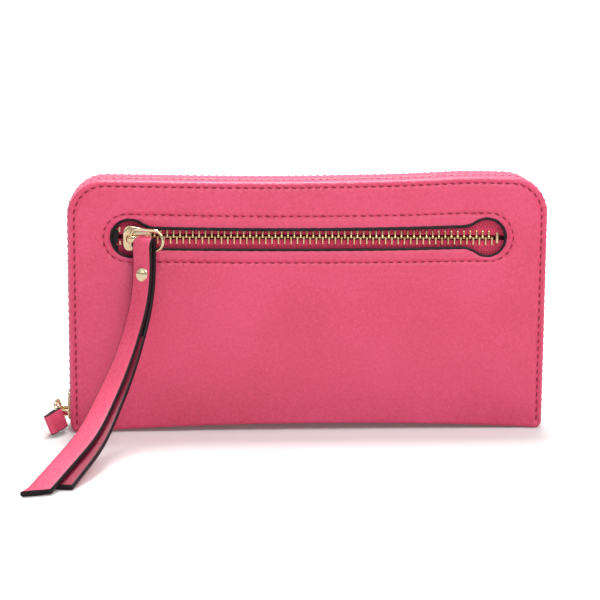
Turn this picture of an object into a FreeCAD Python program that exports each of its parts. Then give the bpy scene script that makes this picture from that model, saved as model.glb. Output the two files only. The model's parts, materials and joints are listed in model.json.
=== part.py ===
"""Zip-around wristlet wallet with a slotted front zip pocket and a folded strap as its pull.

Frame: millimetres, origin at the middle of the resting edge, +X to the right of somebody who faces
the pocket, +Y to the back cover, +Z up. The wallet stands on its spine.
The front cover is the fixed half. The back cover turns about the rear edge of the spine.
"""
import FreeCAD, Part
import math
import os
import Sketcher
from FreeCAD import Placement, Rotation, Vector

SIZES = [
    ("wallet_width", 197.0),          # panels, side to side
    ("wallet_height", 105.5),         # panels, table to top edge
    ("wallet_depth", 24.0),           # outside to outside
    ("corner_radius", 15.0),          # top corners
    ("foot_radius", 2.5),             # bottom corners
    ("leather", 1.2),
    ("board", 0.8),
    ("cloth", 0.32),                  # lining and card slips
    ("ply_gap", 0.08),                # room between layers
    ("zip_pitch", 2.6),               # tooth spacing along one row
    ("tooth_length", 1.05),           # along the chain
    ("tooth_depth", 2.4),             # across the tape
    ("tooth_reach", 2.9),             # chain centre to the ends of the jaws
    ("tooth_overlap", 0.45),          # how far a head passes the chain centre
    ("zip_tape", 0.6),
    ("slot_level", 81.4),             # centre of the pocket slot
    ("slot_opening", 8.6),            # straight stretch of the slot
    ("slot_end_radius", 7.7),
    ("slot_end_centre", 73.0),
    ("slot_flare", 10.0),             # radius between straight and round end
    ("pocket_slider_left", -76.4),
    ("slider_length", 11.8),
    ("slider_nose", 10.4),
    ("slider_tail", 7.0),
    ("crown_plate", 1.1),
    ("base_plate", 0.8),
    ("bail_length", 9.6),
    ("bail_width", 2.6),
    ("bail_height", 4.5),
    ("bail_wall", 1.2),
    ("ring_wire", 1.4),
    ("pocket_ring_length", 17.4),     # outside, away from the bail
    ("pocket_ring_breadth", 10.0),    # outside, along the wire in the bail
    ("pocket_ring_corner", 2.4),
    ("pocket_ring_standoff", 3.6),    # ring axis to the face of the front leather
    ("pull_turn", 24.0),              # degrees the ring stands swung out from the front
    ("strap_width", 9.6),
    ("strap_leaf", 1.85),
    ("strap_offset", 6.4),            # ring axis to the middle of the strap
    ("fold_clearance", 0.25),         # wire to the inside of the fold
    ("strap_upper_bend", 40.0),       # radii and degrees of the long curve down to the table
    ("strap_upper_turn", 32.0),
    ("strap_lower_bend", 92.0),
    ("strap_lower_turn", 41.0),
    ("front_leaf_tail", 32.0),        # straight end whose tip rests on the table
    ("tip_clearance", 0.2),
    ("rivet_drop", 9.4),              # below the ring wire
    ("rivet_radius", 2.7),
    ("rivet_dome", 1.1),
    ("rivet_post", 1.0),
    ("main_slider_foot", 3.6),
    ("main_ring_length", 9.8),        # outside, away from the bail
    ("main_ring_breadth", 12.2),      # outside, along the wire in the bail
    ("main_ring_corner", 1.6),
    ("main_ring_level", 6.9),
    ("main_ring_standoff", 1.9),      # wire to the face of the slider's crown
    ("main_ring_forward", 2.2),       # wire in front of the chain
    ("main_ring_turn", 97.0),         # degrees from the right round to where the ring points
    ("main_ring_lean", 15.0),         # degrees its top leans away from the wallet
    ("tab_width", 8.0),
    ("tab_length", 10.4),
    ("tab_leaf", 1.2),
    ("tab_turn", 15.0),               # degrees the tab turns away from the wallet
    ("band_foot", 1.0),               # lowest edge of the perimeter tape
    ("chain_foot", 15.6),             # lowest tooth of the perimeter zip
    ("stop_foot", 1.1),               # end stops of the perimeter zip
    ("stop_height", 1.7),
    ("inside_foot", 4.0),             # lowest edge of boards, slips, gussets and divider
    ("inside_top", 100.0),
    ("inside_corner", 12.0),
    ("spine_half_width", 95.0),
    ("spine_end", 10.4),              # rear edge of the spine, where the back cover turns
    ("rear_foot", 0.3),               # back cover above the table
    ("board_half_width", 94.0),
    ("lining_half_width", 93.0),
    ("lining_foot", 3.0),
    ("pocket_room", 4.6),             # face of the front leather to its board
    ("slip_half_width", 80.0),
    ("slip_top", 88.0),
    ("slip_step", 11.0),              # each slip is this much lower than the one behind
    ("pocket_tape_half_width", 86.0),
    ("pocket_tape_reach", 11.5),      # slot centre to the tape's sewn edge
    ("tape_slit", 0.9),               # slot centre to the tape's free edge
    ("pocket_bag_half_width", 88.0),
    ("pocket_bag_foot", 8.0),
    ("pocket_bag_top", 95.0),
    ("band_inner", 0.9),              # free edge of the perimeter tape from the middle
    ("band_outer", 10.6),
    ("gusset_reach", 91.0),
    ("gusset_apex", 82.0),
    ("gusset_cloth", 0.5),
    ("gusset_near", -6.0),
    ("gusset_far", 9.2),
    ("gusset_height", 84.0),
    ("divider_half_width", 78.0),
    ("divider_top", 86.0),
    ("divider_front", -0.2),
    ("divider_back", 3.6),
    ("divider_cloth", 0.6),
    ("coin_pitch", 2.0),
    ("coin_row_start", -70.0),
    ("coin_tooth_length", 0.8),
    ("coin_slider_left", -72.0),
    ("coin_slider_length", 8.0),
    ("coin_slider_nose", 2.4),
    ("coin_slider_tail", 2.2),
    ("coin_loop_left", -71.5),
    ("coin_loop_length", 5.5),
    ("coin_loop_wall", 1.0),
    ("coin_loop_height", 2.4),
    ("coin_puller_left", -70.3),
    ("coin_puller_length", 12.8),
    ("coin_puller_width", 3.2),
    ("coin_puller_plate", 0.8),
]
POCKET_TEETH = 58                     # per row
COIN_TEETH = 70
CARD_SLIPS = 4                        # in each cover

doc = FreeCAD.newDocument("wristlet_wallet")
sheet = doc.addObject("Spreadsheet::Sheet", "Sizes")
for row, (alias, value) in enumerate(SIZES, start=1):
    sheet.set("A%d" % row, alias)
    sheet.set("B%d" % row, str(value))
    sheet.setAlias("B%d" % row, alias)
doc.recompute()

parts = []          # document objects that become STEP files


def num(expression):
    """Value of an expression over the sheet."""
    if isinstance(expression, (int, float)):
        return float(expression)
    return float(sheet.evalExpression(str(expression)))


def size(alias):
    """Value of one cell."""
    return num("Sizes." + alias)


def new_body(label):
    body = doc.addObject("PartDesign::Body", label)
    body.Label = label
    body.AllowCompound = True
    parts.append(body)
    return body


def origin_item(body, role):
    return next(item for item in body.Origin.OriginFeatures if item.Role == role)


def new_sketch(body, name, plane, offset=0):
    """Sketch on one of the body's own planes, moved along the plane's normal."""
    sketch = body.newObject("Sketcher::SketchObject", body.Label + "_" + name)
    sketch.AttachmentSupport = [(origin_item(body, plane), "")]
    sketch.MapMode = "FlatFace"
    sketch.setExpression("AttachmentOffset.Base.z", str(offset))
    return sketch


def bind(sketch, name, constraint, expression):
    index = sketch.addConstraint(constraint)
    sketch.renameConstraint(index, name)
    sketch.setExpression("Constraints." + name, str(expression))


def polygon(sketch, points):
    """Closed outline whose corners are bound to the sheet, added to whatever the sketch holds."""
    first = sketch.GeometryCount
    places = [Vector(num(x), num(y), 0) for x, y in points]
    count = len(points)
    for k in range(count):
        sketch.addGeometry(Part.LineSegment(places[k], places[(k + 1) % count]))
    for k in range(count):
        nxt = first + (k + 1) % count
        sketch.addConstraint(Sketcher.Constraint("Coincident", first + k, 2, nxt, 1))
    for k, (x, y) in enumerate(points):
        across = Sketcher.Constraint("DistanceX", -1, 1, first + k, 1, places[k].x)
        upward = Sketcher.Constraint("DistanceY", -1, 1, first + k, 1, places[k].y)
        bind(sketch, "x%d" % (first + k), across, x)
        bind(sketch, "y%d" % (first + k), upward, y)


def rectangle(x0, x1, y0, y1):
    return [(x0, y0), (x1, y0), (x1, y1), (x0, y1)]


def circle(sketch, x, y, radius):
    """Bound circle, added to whatever the sketch holds."""
    index = sketch.GeometryCount
    sketch.addGeometry(Part.Circle(Vector(num(x), num(y), 0), Vector(0, 0, 1), num(radius)))
    bind(sketch, "radius%d" % index, Sketcher.Constraint("Radius", index, num(radius)), radius)
    bind(sketch, "across%d" % index,
         Sketcher.Constraint("DistanceX", -1, 1, index, 3, num(x)), x)
    bind(sketch, "upward%d" % index,
         Sketcher.Constraint("DistanceY", -1, 1, index, 3, num(y)), y)


def pad(body, sketch, length):
    feature = body.newObject("PartDesign::Pad", sketch.Label + "_pad")
    feature.Profile = sketch
    feature.setExpression("Length", str(length))
    body.Tip = feature
    doc.recompute()
    return feature


def pocket(body, sketch, length):
    """Cut along the direction opposite to the sketch's normal, and check that it cut."""
    before = body.Shape.Volume
    feature = body.newObject("PartDesign::Pocket", sketch.Label + "_pocket")
    feature.Profile = sketch
    feature.setExpression("Length", str(length))
    body.Tip = feature
    doc.recompute()
    if body.Shape.Volume > before - 1e-6:
        raise RuntimeError(body.Label + ": the pocket cut nothing")
    return feature


def fillet(body, radius, wanted):
    """Round the edges that the test picks out."""
    edges = body.Shape.Edges
    names = ["Edge%d" % (k + 1) for k, edge in enumerate(edges) if wanted(edge)]
    base = body.Tip
    feature = body.newObject("PartDesign::Fillet", body.Label + "_fillet%d" % len(body.Group))
    feature.Base = (base, names)
    feature.setExpression("Radius", str(radius))
    body.Tip = feature
    doc.recompute()
    return feature


def pattern_along_x(body, feature, count, pitch):
    """Repeat a feature in a straight row."""
    row = body.newObject("PartDesign::LinearPattern", body.Label + "_row")
    row.Originals = [feature]
    row.Direction = (origin_item(body, "X_Axis"), [""])
    row.Occurrences = count
    row.setExpression("Length", "%s * %d" % (pitch, count - 1))
    body.Tip = row
    doc.recompute()


def runs_along_y(edge):
    start, end = edge.Vertexes[0].Point, edge.Vertexes[-1].Point
    return abs(start.x - end.x) < 1e-4 and abs(start.z - end.z) < 1e-4


def sheet_part(label, y0, y1, half_width, z0, z1, top_radius=None):
    """Flat upright layer between two depths, with rounded top corners where it has them."""
    body = new_body(label)
    sketch = new_sketch(body, "outline", "XZ_Plane", "-(%s)" % y1)
    polygon(sketch, rectangle("-(%s)" % half_width, half_width, z0, z1))
    pad(body, sketch, "(%s) - (%s)" % (y1, y0))
    if top_radius:
        top = num(z1) - 1e-3
        fillet(body, top_radius, lambda edge: runs_along_y(edge) and edge.Vertexes[0].Z > top)
    return body


# ---------------------------------------------------------------- depths of the layers
HALF_WIDTH = "Sizes.wallet_width / 2"
FACE = "-Sizes.wallet_depth / 2"
FACE_BACK = "(%s + Sizes.leather)" % FACE
TAPE_FRONT = "(%s + Sizes.ply_gap)" % FACE_BACK
TAPE_BACK = "(%s + Sizes.zip_tape)" % TAPE_FRONT
CHAIN_DEPTH = "(%s + Sizes.zip_tape / 2)" % TAPE_FRONT
BOARD_FRONT = "(%s + Sizes.pocket_room)" % FACE
BOARD_BACK = "(%s + Sizes.board)" % BOARD_FRONT
REAR = "Sizes.wallet_depth / 2"
REAR_FRONT = "(%s - Sizes.leather)" % REAR
REAR_BOARD = "(%s - 0.1 - Sizes.board)" % REAR_FRONT
DIVIDER_MIDDLE = "((Sizes.divider_front + Sizes.divider_back) / 2)"
FOOT = "Sizes.inside_foot"
INSIDE_TOP = "Sizes.inside_top"
SLOT = "Sizes.slot_level"
MAIN_CROWN = "(0.2 - %s - 1.5 - Sizes.crown_plate)" % HALF_WIDTH
FOLD_RADIUS = "(Sizes.ring_wire / 2 + Sizes.fold_clearance + Sizes.strap_leaf / 2)"
TAB_FOLD = "(Sizes.ring_wire / 2 + Sizes.fold_clearance + Sizes.tab_leaf / 2)"
REAR_UPPER = "(Sizes.strap_upper_bend + 2 * %s)" % FOLD_RADIUS
REAR_LOWER = "(Sizes.strap_lower_bend + 2 * %s)" % FOLD_RADIUS
REST_ANGLE = "(90 - Sizes.strap_upper_turn - Sizes.strap_lower_turn)"
REAR_TAIL = "(Sizes.front_leaf_tail - 2 * %s / sin(%s * 1deg))" % (FOLD_RADIUS, REST_ANGLE)


def slot_outline(sketch):
    """Keyhole slot: a straight stretch that flares into a round hole at each end."""
    half = size("slot_opening") / 2
    end_radius = size("slot_end_radius")
    flare = size("slot_flare")
    centre = size("slot_end_centre")
    level = size("slot_level")
    reach = math.sqrt((end_radius + flare) ** 2 - (half + flare) ** 2)
    straight = centre - reach
    lean = math.atan2(half + flare, reach)
    quarter = math.pi / 2

    def arc(x, z, radius, start, end):
        circle = Part.Circle(Vector(x, level + z, 0), Vector(0, 0, 1), radius)
        sketch.addGeometry(Part.ArcOfCircle(circle, start, end))

    def line(x0, x1, z):
        sketch.addGeometry(Part.LineSegment(Vector(x0, level + z, 0), Vector(x1, level + z, 0)))

    line(-straight, straight, half)
    arc(straight, half + flare, flare, -quarter, -lean)
    arc(centre, 0, end_radius, lean - math.pi, math.pi - lean)
    arc(straight, -half - flare, flare, lean, quarter)
    line(straight, -straight, -half)
    arc(-straight, -half - flare, flare, quarter, math.pi - lean)
    arc(-centre, 0, end_radius, lean, 2 * math.pi - lean)
    arc(-straight, half + flare, flare, math.pi + lean, 3 * quarter)
    joints = [(0, 2, 1, 1), (1, 2, 2, 2), (2, 1, 3, 1), (3, 2, 4, 1),
              (4, 2, 5, 1), (5, 2, 6, 2), (6, 1, 7, 1), (7, 2, 0, 1)]
    for first, end, second, start in joints:
        sketch.addConstraint(Sketcher.Constraint("Tangent", first, end, second, start))
    for k in (2, 6):
        bind(sketch, "end%d" % k, Sketcher.Constraint("Radius", k, end_radius),
             "Sizes.slot_end_radius")
    for k in (1, 3, 5, 7):
        bind(sketch, "flare%d" % k, Sketcher.Constraint("Radius", k, flare), "Sizes.slot_flare")
    bind(sketch, "right", Sketcher.Constraint("DistanceX", -1, 1, 2, 3, centre),
         "Sizes.slot_end_centre")
    bind(sketch, "left", Sketcher.Constraint("DistanceX", -1, 1, 6, 3, -centre),
         "-Sizes.slot_end_centre")
    bind(sketch, "level", Sketcher.Constraint("DistanceY", -1, 1, 2, 3, level), SLOT)
    bind(sketch, "upper", Sketcher.Constraint("DistanceY", -1, 1, 0, 1, level + half),
         SLOT + " + Sizes.slot_opening / 2")
    bind(sketch, "lower", Sketcher.Constraint("DistanceY", -1, 1, 4, 1, level - half),
         SLOT + " - Sizes.slot_opening / 2")
    sketch.addConstraint(Sketcher.Constraint("Horizontal", 0))
    sketch.addConstraint(Sketcher.Constraint("Horizontal", 4))


def front_leather():
    """Front panel of the outer leather, with the pocket slot."""
    body = sheet_part("front_leather", FACE, FACE_BACK, HALF_WIDTH, 0, "Sizes.wallet_height",
                      "Sizes.corner_radius")
    fillet(body, "Sizes.foot_radius", lambda edge: runs_along_y(edge) and edge.Vertexes[0].Z < 1e-3)
    sketch = new_sketch(body, "slot", "XZ_Plane", "-(%s)" % FACE)
    slot_outline(sketch)
    doc.recompute()
    pocket(body, sketch, "Sizes.leather")


def covers():
    """Leather, boards and lining of both covers, and the spine between them."""
    front_leather()
    rear = sheet_part("back_leather", REAR_FRONT, REAR, HALF_WIDTH, "Sizes.rear_foot",
                      "Sizes.wallet_height", "Sizes.corner_radius")
    low = size("rear_foot") + 1e-3
    fillet(rear, "Sizes.foot_radius", lambda edge: runs_along_y(edge) and edge.Vertexes[0].Z < low)
    sheet_part("spine_leather", FACE_BACK + " + 0.05", "Sizes.spine_end", "Sizes.spine_half_width",
               0, "Sizes.leather")
    corner = "Sizes.inside_corner"
    half = "Sizes.board_half_width"
    sheet_part("front_board", BOARD_FRONT, BOARD_BACK, half, FOOT, INSIDE_TOP, corner)
    sheet_part("back_board", REAR_BOARD, REAR_BOARD + " + Sizes.board", half, FOOT, INSIDE_TOP,
               corner)
    half = "Sizes.lining_half_width"
    near = BOARD_BACK + " + Sizes.ply_gap"
    sheet_part("front_lining", near, near + " + Sizes.cloth", half, "Sizes.lining_foot", INSIDE_TOP,
               corner)
    far = REAR_BOARD + " - 0.15"
    sheet_part("back_lining", far + " - Sizes.cloth", far, half, "Sizes.lining_foot", INSIDE_TOP,
               corner)


def card_slips():
    """Four stepped slips on each lining, the lowest nearest the middle of the wallet."""
    half = "Sizes.slip_half_width"
    for k in range(CARD_SLIPS):
        top = "Sizes.slip_top - Sizes.slip_step * %d" % k
        step = "(Sizes.cloth + Sizes.ply_gap) * %d" % (k + 1)
        near = "%s + Sizes.ply_gap + %s" % (BOARD_BACK, step)
        sheet_part("front_card_slip_%d" % (k + 1), near, near + " + Sizes.cloth", half, FOOT, top)
        far = "%s - 0.15 - %s" % (REAR_BOARD, step)
        sheet_part("back_card_slip_%d" % (k + 1), far + " - Sizes.cloth", far, half, FOOT, top)


def gusset(label, side):
    """Folded side wall: from the front lining in to the divider and out to the back lining."""
    body = new_body(label)
    sketch = new_sketch(body, "fold", "XY_Plane", FOOT)
    outer = "%d * Sizes.gusset_reach" % side
    apex = "%d * Sizes.gusset_apex" % side
    wall = " - %d * Sizes.gusset_cloth" % side
    near, far = "Sizes.gusset_near", "Sizes.gusset_far"
    polygon(sketch, [(outer, near), (apex, DIVIDER_MIDDLE), (outer, far), (outer + wall, far),
                     (apex + wall, DIVIDER_MIDDLE), (outer + wall, near)])
    pad(body, sketch, "Sizes.gusset_height")


# ---------------------------------------------------------------- zip chains
def tooth_outline(across_sign, chain_centre, depth_centre):
    """Section of one tooth: a head past the chain centre and two jaws that grip the tape."""
    jaw = "Sizes.tooth_reach"
    head = "Sizes.tooth_overlap"
    half = "Sizes.tooth_depth / 2"
    grip = "(Sizes.zip_tape / 2 + 0.05)"
    throat = 0.85
    outline = [("-" + head, "-0.7"), ("0.5", "-0.75"), ("0.9", "-(%s)" % half),
               (jaw, "-(%s)" % half), (jaw, "-" + grip), (throat, "-" + grip),
               (throat, grip), (jaw, grip), (jaw, half), ("0.9", half), ("0.5", "0.75"),
               ("-" + head, "0.7")]
    return [("(%s) + %d * (%s)" % (chain_centre, across_sign, a), "(%s) + (%s)" % (depth_centre, d))
            for a, d in outline]


def pocket_teeth(label, side):
    """One straight row of the pocket zip; side is +1 for the upper row."""
    body = new_body(label)
    stagger = 0 if side > 0 else 0.5
    start = "Sizes.pocket_slider_left + 2 + Sizes.zip_pitch * %s" % stagger
    sketch = new_sketch(body, "tooth", "YZ_Plane", start)
    polygon(sketch, [(depth, up) for up, depth in tooth_outline(side, SLOT, CHAIN_DEPTH)])
    feature = pad(body, sketch, "Sizes.tooth_length")
    pattern_along_x(body, feature, POCKET_TEETH, "Sizes.zip_pitch")


def pocket_zip():
    """Tapes, rows of teeth, stops and the bag behind the slot."""
    half = "Sizes.pocket_tape_half_width"
    reach, slit = "Sizes.pocket_tape_reach", "Sizes.tape_slit"
    sheet_part("pocket_zip_tape_upper", TAPE_FRONT, TAPE_BACK, half, SLOT + " + " + slit,
               SLOT + " + " + reach)
    sheet_part("pocket_zip_tape_lower", TAPE_FRONT, TAPE_BACK, half, SLOT + " - " + reach,
               SLOT + " - " + slit)
    pocket_teeth("pocket_teeth_upper", 1)
    pocket_teeth("pocket_teeth_lower", -1)
    stops = new_body("pocket_zip_stops")
    ends = new_sketch(stops, "ends", "XZ_Plane", "-(%s - 0.1)" % TAPE_FRONT)
    left = "Sizes.pocket_slider_left - "
    polygon(ends, rectangle(left + "3.2", left + "1.2", SLOT + " + 1.6", SLOT + " + 3.4"))
    polygon(ends, rectangle(left + "3.2", left + "1.2", SLOT + " - 3.4", SLOT + " - 1.6"))
    right = "Sizes.pocket_slider_left + Sizes.zip_pitch * %d + " % (POCKET_TEETH + 1)
    polygon(ends, rectangle(right + "-0.2", right + "1.8", SLOT + " - 2.8", SLOT + " + 2.8"))
    pad(stops, ends, 0.9)
    sheet_part("pocket_bag", BOARD_FRONT + " - 0.55", BOARD_FRONT + " - 0.15",
               "Sizes.pocket_bag_half_width", "Sizes.pocket_bag_foot", "Sizes.pocket_bag_top")


def band_legs(radius, half_width, top, foot):
    """Lengths of the band's legs: up the left side, over the top between two arcs, down the right."""
    side = top - radius - foot
    over = 2 * (half_width - radius)
    arc = radius * math.pi / 2
    return [side, arc, over, arc, side]


def band_place(distance, radius, half_width, top, foot):
    """Point and outward angle at a distance along the band, from the left foot."""
    legs = band_legs(radius, half_width, top, foot)
    turn = math.pi / 2
    if distance < legs[0]:
        return -half_width, foot + distance, math.pi
    distance -= legs[0]
    if distance < legs[1]:
        angle = math.pi - turn * distance / legs[1]
        return (-half_width + radius + radius * math.cos(angle),
                top - radius + radius * math.sin(angle), angle)
    distance -= legs[1]
    if distance < legs[2]:
        return -half_width + radius + distance, top, turn
    distance -= legs[2]
    if distance < legs[3]:
        angle = turn - turn * distance / legs[3]
        return (half_width - radius + radius * math.cos(angle),
                top - radius + radius * math.sin(angle), angle)
    distance -= legs[3]
    return half_width, top - radius - distance, 0.0


def perimeter_teeth(label, side):
    """One row of the perimeter zip, as separate teeth that follow the band. side -1 is the front."""
    half_width = num(HALF_WIDTH) - 0.2
    top = size("wallet_height") - 0.2
    radius = size("corner_radius") - 0.2
    foot = size("chain_foot")
    pitch = size("zip_pitch")
    length = sum(band_legs(radius, half_width, top, foot))
    count = int(length / pitch)
    outline = [(num(a), num(d)) for a, d in tooth_outline(side, "0", "0")]
    face = Part.Face(Part.makePolygon([Vector(d, a, 0) for a, d in outline + outline[:1]]))
    tooth = face.extrude(Vector(0, 0, size("tooth_length")))
    row = []
    for k in range(count):
        distance = pitch * (k + (0.5 if side > 0 else 0.0)) + 0.3
        x, z, angle = band_place(distance, radius, half_width, top, foot)
        outward = Vector(math.cos(angle), 0, math.sin(angle))
        back = Vector(-math.sin(angle), 0, math.cos(angle))
        turn = FreeCAD.Matrix(outward.x, 0, back.x, x, 0, 1, 0, 0,
                              outward.z, 0, back.z, z, 0, 0, 0, 1)
        piece = tooth.copy()
        piece.Placement = Placement(turn)
        row.append(piece)
    feature = doc.addObject("Part::Feature", label)
    feature.Label = label
    feature.Shape = Part.makeCompound(row)
    parts.append(feature)


def perimeter_tape(label, y0, y1):
    """Woven band that faces outwards all the way round: a rounded arch cut from a larger one."""
    def arch(name, shrink, foot):
        body = doc.addObject("PartDesign::Body", label + name)
        sketch = new_sketch(body, "outline", "XZ_Plane", "-(%s)" % y1)
        half = "(%s - %s)" % (HALF_WIDTH, shrink)
        polygon(sketch, rectangle("-" + half, half, foot, "Sizes.wallet_height - %s" % shrink))
        pad(body, sketch, "(%s) - (%s)" % (y1, y0))
        top = num("Sizes.wallet_height - %s" % shrink) - 1e-3
        fillet(body, "Sizes.corner_radius - %s" % shrink,
               lambda edge: runs_along_y(edge) and edge.Vertexes[0].Z > top)
        return body
    cut = doc.addObject("Part::Cut", label)
    cut.Label = label
    cut.Base = arch("_outside", "(0.5 - Sizes.zip_tape)", "Sizes.band_foot")
    cut.Tool = arch("_inside", "0.5", "Sizes.band_foot - 1")
    doc.recompute()
    parts.append(cut)


def perimeter_stops(label, near, far):
    """Small blocks on both ends of one tape, below the rows of teeth."""
    body = new_body(label)
    sketch = new_sketch(body, "ends", "XY_Plane", "Sizes.stop_foot")
    inner, outer = HALF_WIDTH + " - 1.4", HALF_WIDTH + " - 0.6"
    polygon(sketch, rectangle("-(%s)" % outer, "-(%s)" % inner, near, far))
    polygon(sketch, rectangle(inner, outer, near, far))
    pad(body, sketch, "Sizes.stop_height")


def perimeter_zip():
    perimeter_tape("main_zip_tape_front", "-Sizes.band_outer", "-Sizes.band_inner")
    perimeter_tape("main_zip_tape_back", "Sizes.band_inner", "Sizes.band_outer")
    perimeter_teeth("main_teeth_front", -1)
    perimeter_teeth("main_teeth_back", 1)
    perimeter_stops("main_zip_stops_front", "-3.2", "-1.4")
    perimeter_stops("main_zip_stops_back", "1.4", "3.2")


# ---------------------------------------------------------------- sliders and pulls
def shield(start, length, nose, tail, centre, direction):
    """Slider plate outline: wide nose with cut corners, narrower tail. Along, across pairs."""
    ends = [(0, "%s * 0.34" % nose), (1.4, "%s / 2" % nose), (length, "%s / 2" % tail)]
    half = [("(%s) + %d * (%s)" % (start, direction, a), b) for a, b in ends]
    upper = [(a, "(%s) + (%s)" % (centre, b)) for a, b in half]
    lower = [(a, "(%s) - (%s)" % (centre, b)) for a, b in reversed(half)]
    return upper + lower


def slider(label, plane, shape, crown_offset, base_offset):
    """Crown and base plates at offsets along the plane's normal. bail() completes it."""
    body = new_body(label)
    crown = new_sketch(body, "crown", plane, crown_offset)
    polygon(crown, shape)
    pad(body, crown, "Sizes.crown_plate")
    base = new_sketch(body, "base", plane, base_offset)
    polygon(base, shape)
    pad(body, base, "Sizes.base_plate")
    return body


def bail(body, plane, centre, start, level, swap):
    """Arch on the crown: a bridge outline, given its width across the slider.

    start is where it begins along the slider and level is the crown's face; the arch rises towards
    smaller values, which is outwards on both sliders. swap puts the height first in the sketch.
    """
    sketch = new_sketch(body, "bail", plane, centre)
    end = "(%s + Sizes.bail_length)" % start
    wall = "Sizes.bail_wall"
    rise = "(%s - Sizes.bail_height)" % level
    roof = "(%s + %s)" % (rise, wall)
    inner_start = "%s + %s" % (start, wall)
    inner_end = "%s - %s" % (end, wall)
    outline = [(start, level), (start, rise), (end, rise), (end, level),
               (inner_end, level), (inner_end, roof), (inner_start, roof), (inner_start, level)]
    if swap:
        outline = [(height, along) for along, height in outline]
    polygon(sketch, outline)
    pad(body, sketch, "Sizes.bail_width")


def pocket_slider():
    shape = shield("Sizes.pocket_slider_left", "Sizes.slider_length", "Sizes.slider_nose",
                   "Sizes.slider_tail", SLOT, 1)
    body = slider("pocket_slider", "XZ_Plane", shape, "-(%s - 0.1)" % FACE,
                  "-(%s + 1.4 + Sizes.base_plate)" % CHAIN_DEPTH)
    bail(body, "XY_Plane", SLOT + " - Sizes.bail_width / 2", "(Sizes.pocket_slider_left + 1.4)",
         "(%s - 0.1 - Sizes.crown_plate)" % FACE, False)


def main_slider():
    """Slider of the perimeter zip. Its bail bridges it from front to back."""
    chain = "(0.2 - %s)" % HALF_WIDTH
    shape = [(b, a) for a, b in shield("Sizes.main_slider_foot", "Sizes.slider_length",
                                       "Sizes.slider_nose", "Sizes.slider_tail", "0", 1)]
    body = slider("main_slider", "YZ_Plane", shape, MAIN_CROWN, chain + " + 1.4")
    bail(body, "XY_Plane", "Sizes.main_ring_level - Sizes.bail_width / 2",
         "(0 - Sizes.bail_length / 2)", MAIN_CROWN, True)


def wire_ring(label, kind, base, rotation):
    """Rounded rectangle of round wire. Its first side lies on the body's own Z axis."""
    body = new_body(label)
    length, breadth = "Sizes.%s_ring_length" % kind, "Sizes.%s_ring_breadth" % kind
    corner = size(kind + "_ring_corner")
    reach = num(length) - size("ring_wire")
    half = (num(breadth) - size("ring_wire")) / 2
    path = body.newObject("Sketcher::SketchObject", label + "_path")
    path.AttachmentSupport = [(origin_item(body, "XZ_Plane"), "")]
    path.MapMode = "FlatFace"
    flat = half - corner
    quarter = math.pi / 2

    def line(x0, z0, x1, z1):
        path.addGeometry(Part.LineSegment(Vector(x0, z0, 0), Vector(x1, z1, 0)))

    def arc(x, z, start):
        circle = Part.Circle(Vector(x, z, 0), Vector(0, 0, 1), corner)
        path.addGeometry(Part.ArcOfCircle(circle, start, start + quarter))

    line(0, flat, 0, -flat)
    arc(corner, -flat, 2 * quarter)
    line(corner, -half, reach - corner, -half)
    arc(reach - corner, -flat, 3 * quarter)
    line(reach, -flat, reach, flat)
    arc(reach - corner, flat, 0)
    line(reach - corner, half, corner, half)
    arc(corner, flat, quarter)
    for k in range(8):
        path.addConstraint(Sketcher.Constraint("Tangent", k, 2, (k + 1) % 8, 1))
    for k in (1, 3, 5, 7):
        bind(path, "corner%d" % k, Sketcher.Constraint("Radius", k, corner),
             "Sizes.%s_ring_corner" % kind)
    path.addConstraint(Sketcher.Constraint("Vertical", 0))
    bind(path, "axis", Sketcher.Constraint("DistanceX", -1, 1, 0, 1, 0.0), 0)
    bind(path, "reach", Sketcher.Constraint("DistanceX", -1, 1, 4, 1, reach),
         length + " - Sizes.ring_wire")
    bind(path, "low", Sketcher.Constraint("DistanceY", -1, 1, 2, 1, -half),
         "-(%s - Sizes.ring_wire) / 2" % breadth)
    bind(path, "high", Sketcher.Constraint("DistanceY", -1, 1, 6, 1, half),
         "(%s - Sizes.ring_wire) / 2" % breadth)
    section = new_sketch(body, "section", "XY_Plane")
    section.addGeometry(Part.Circle(Vector(0, 0, 0), Vector(0, 0, 1), size("ring_wire") / 2))
    bind(section, "wire", Sketcher.Constraint("Radius", 0, size("ring_wire") / 2),
         "Sizes.ring_wire / 2")
    section.addConstraint(Sketcher.Constraint("Coincident", 0, 3, -1, 1))
    pipe = body.newObject("PartDesign::AdditivePipe", label + "_pipe")
    pipe.Profile = section
    pipe.Spine = path
    body.Tip = pipe
    doc.recompute()
    body.Placement = Placement(base, rotation)
    return body


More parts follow.
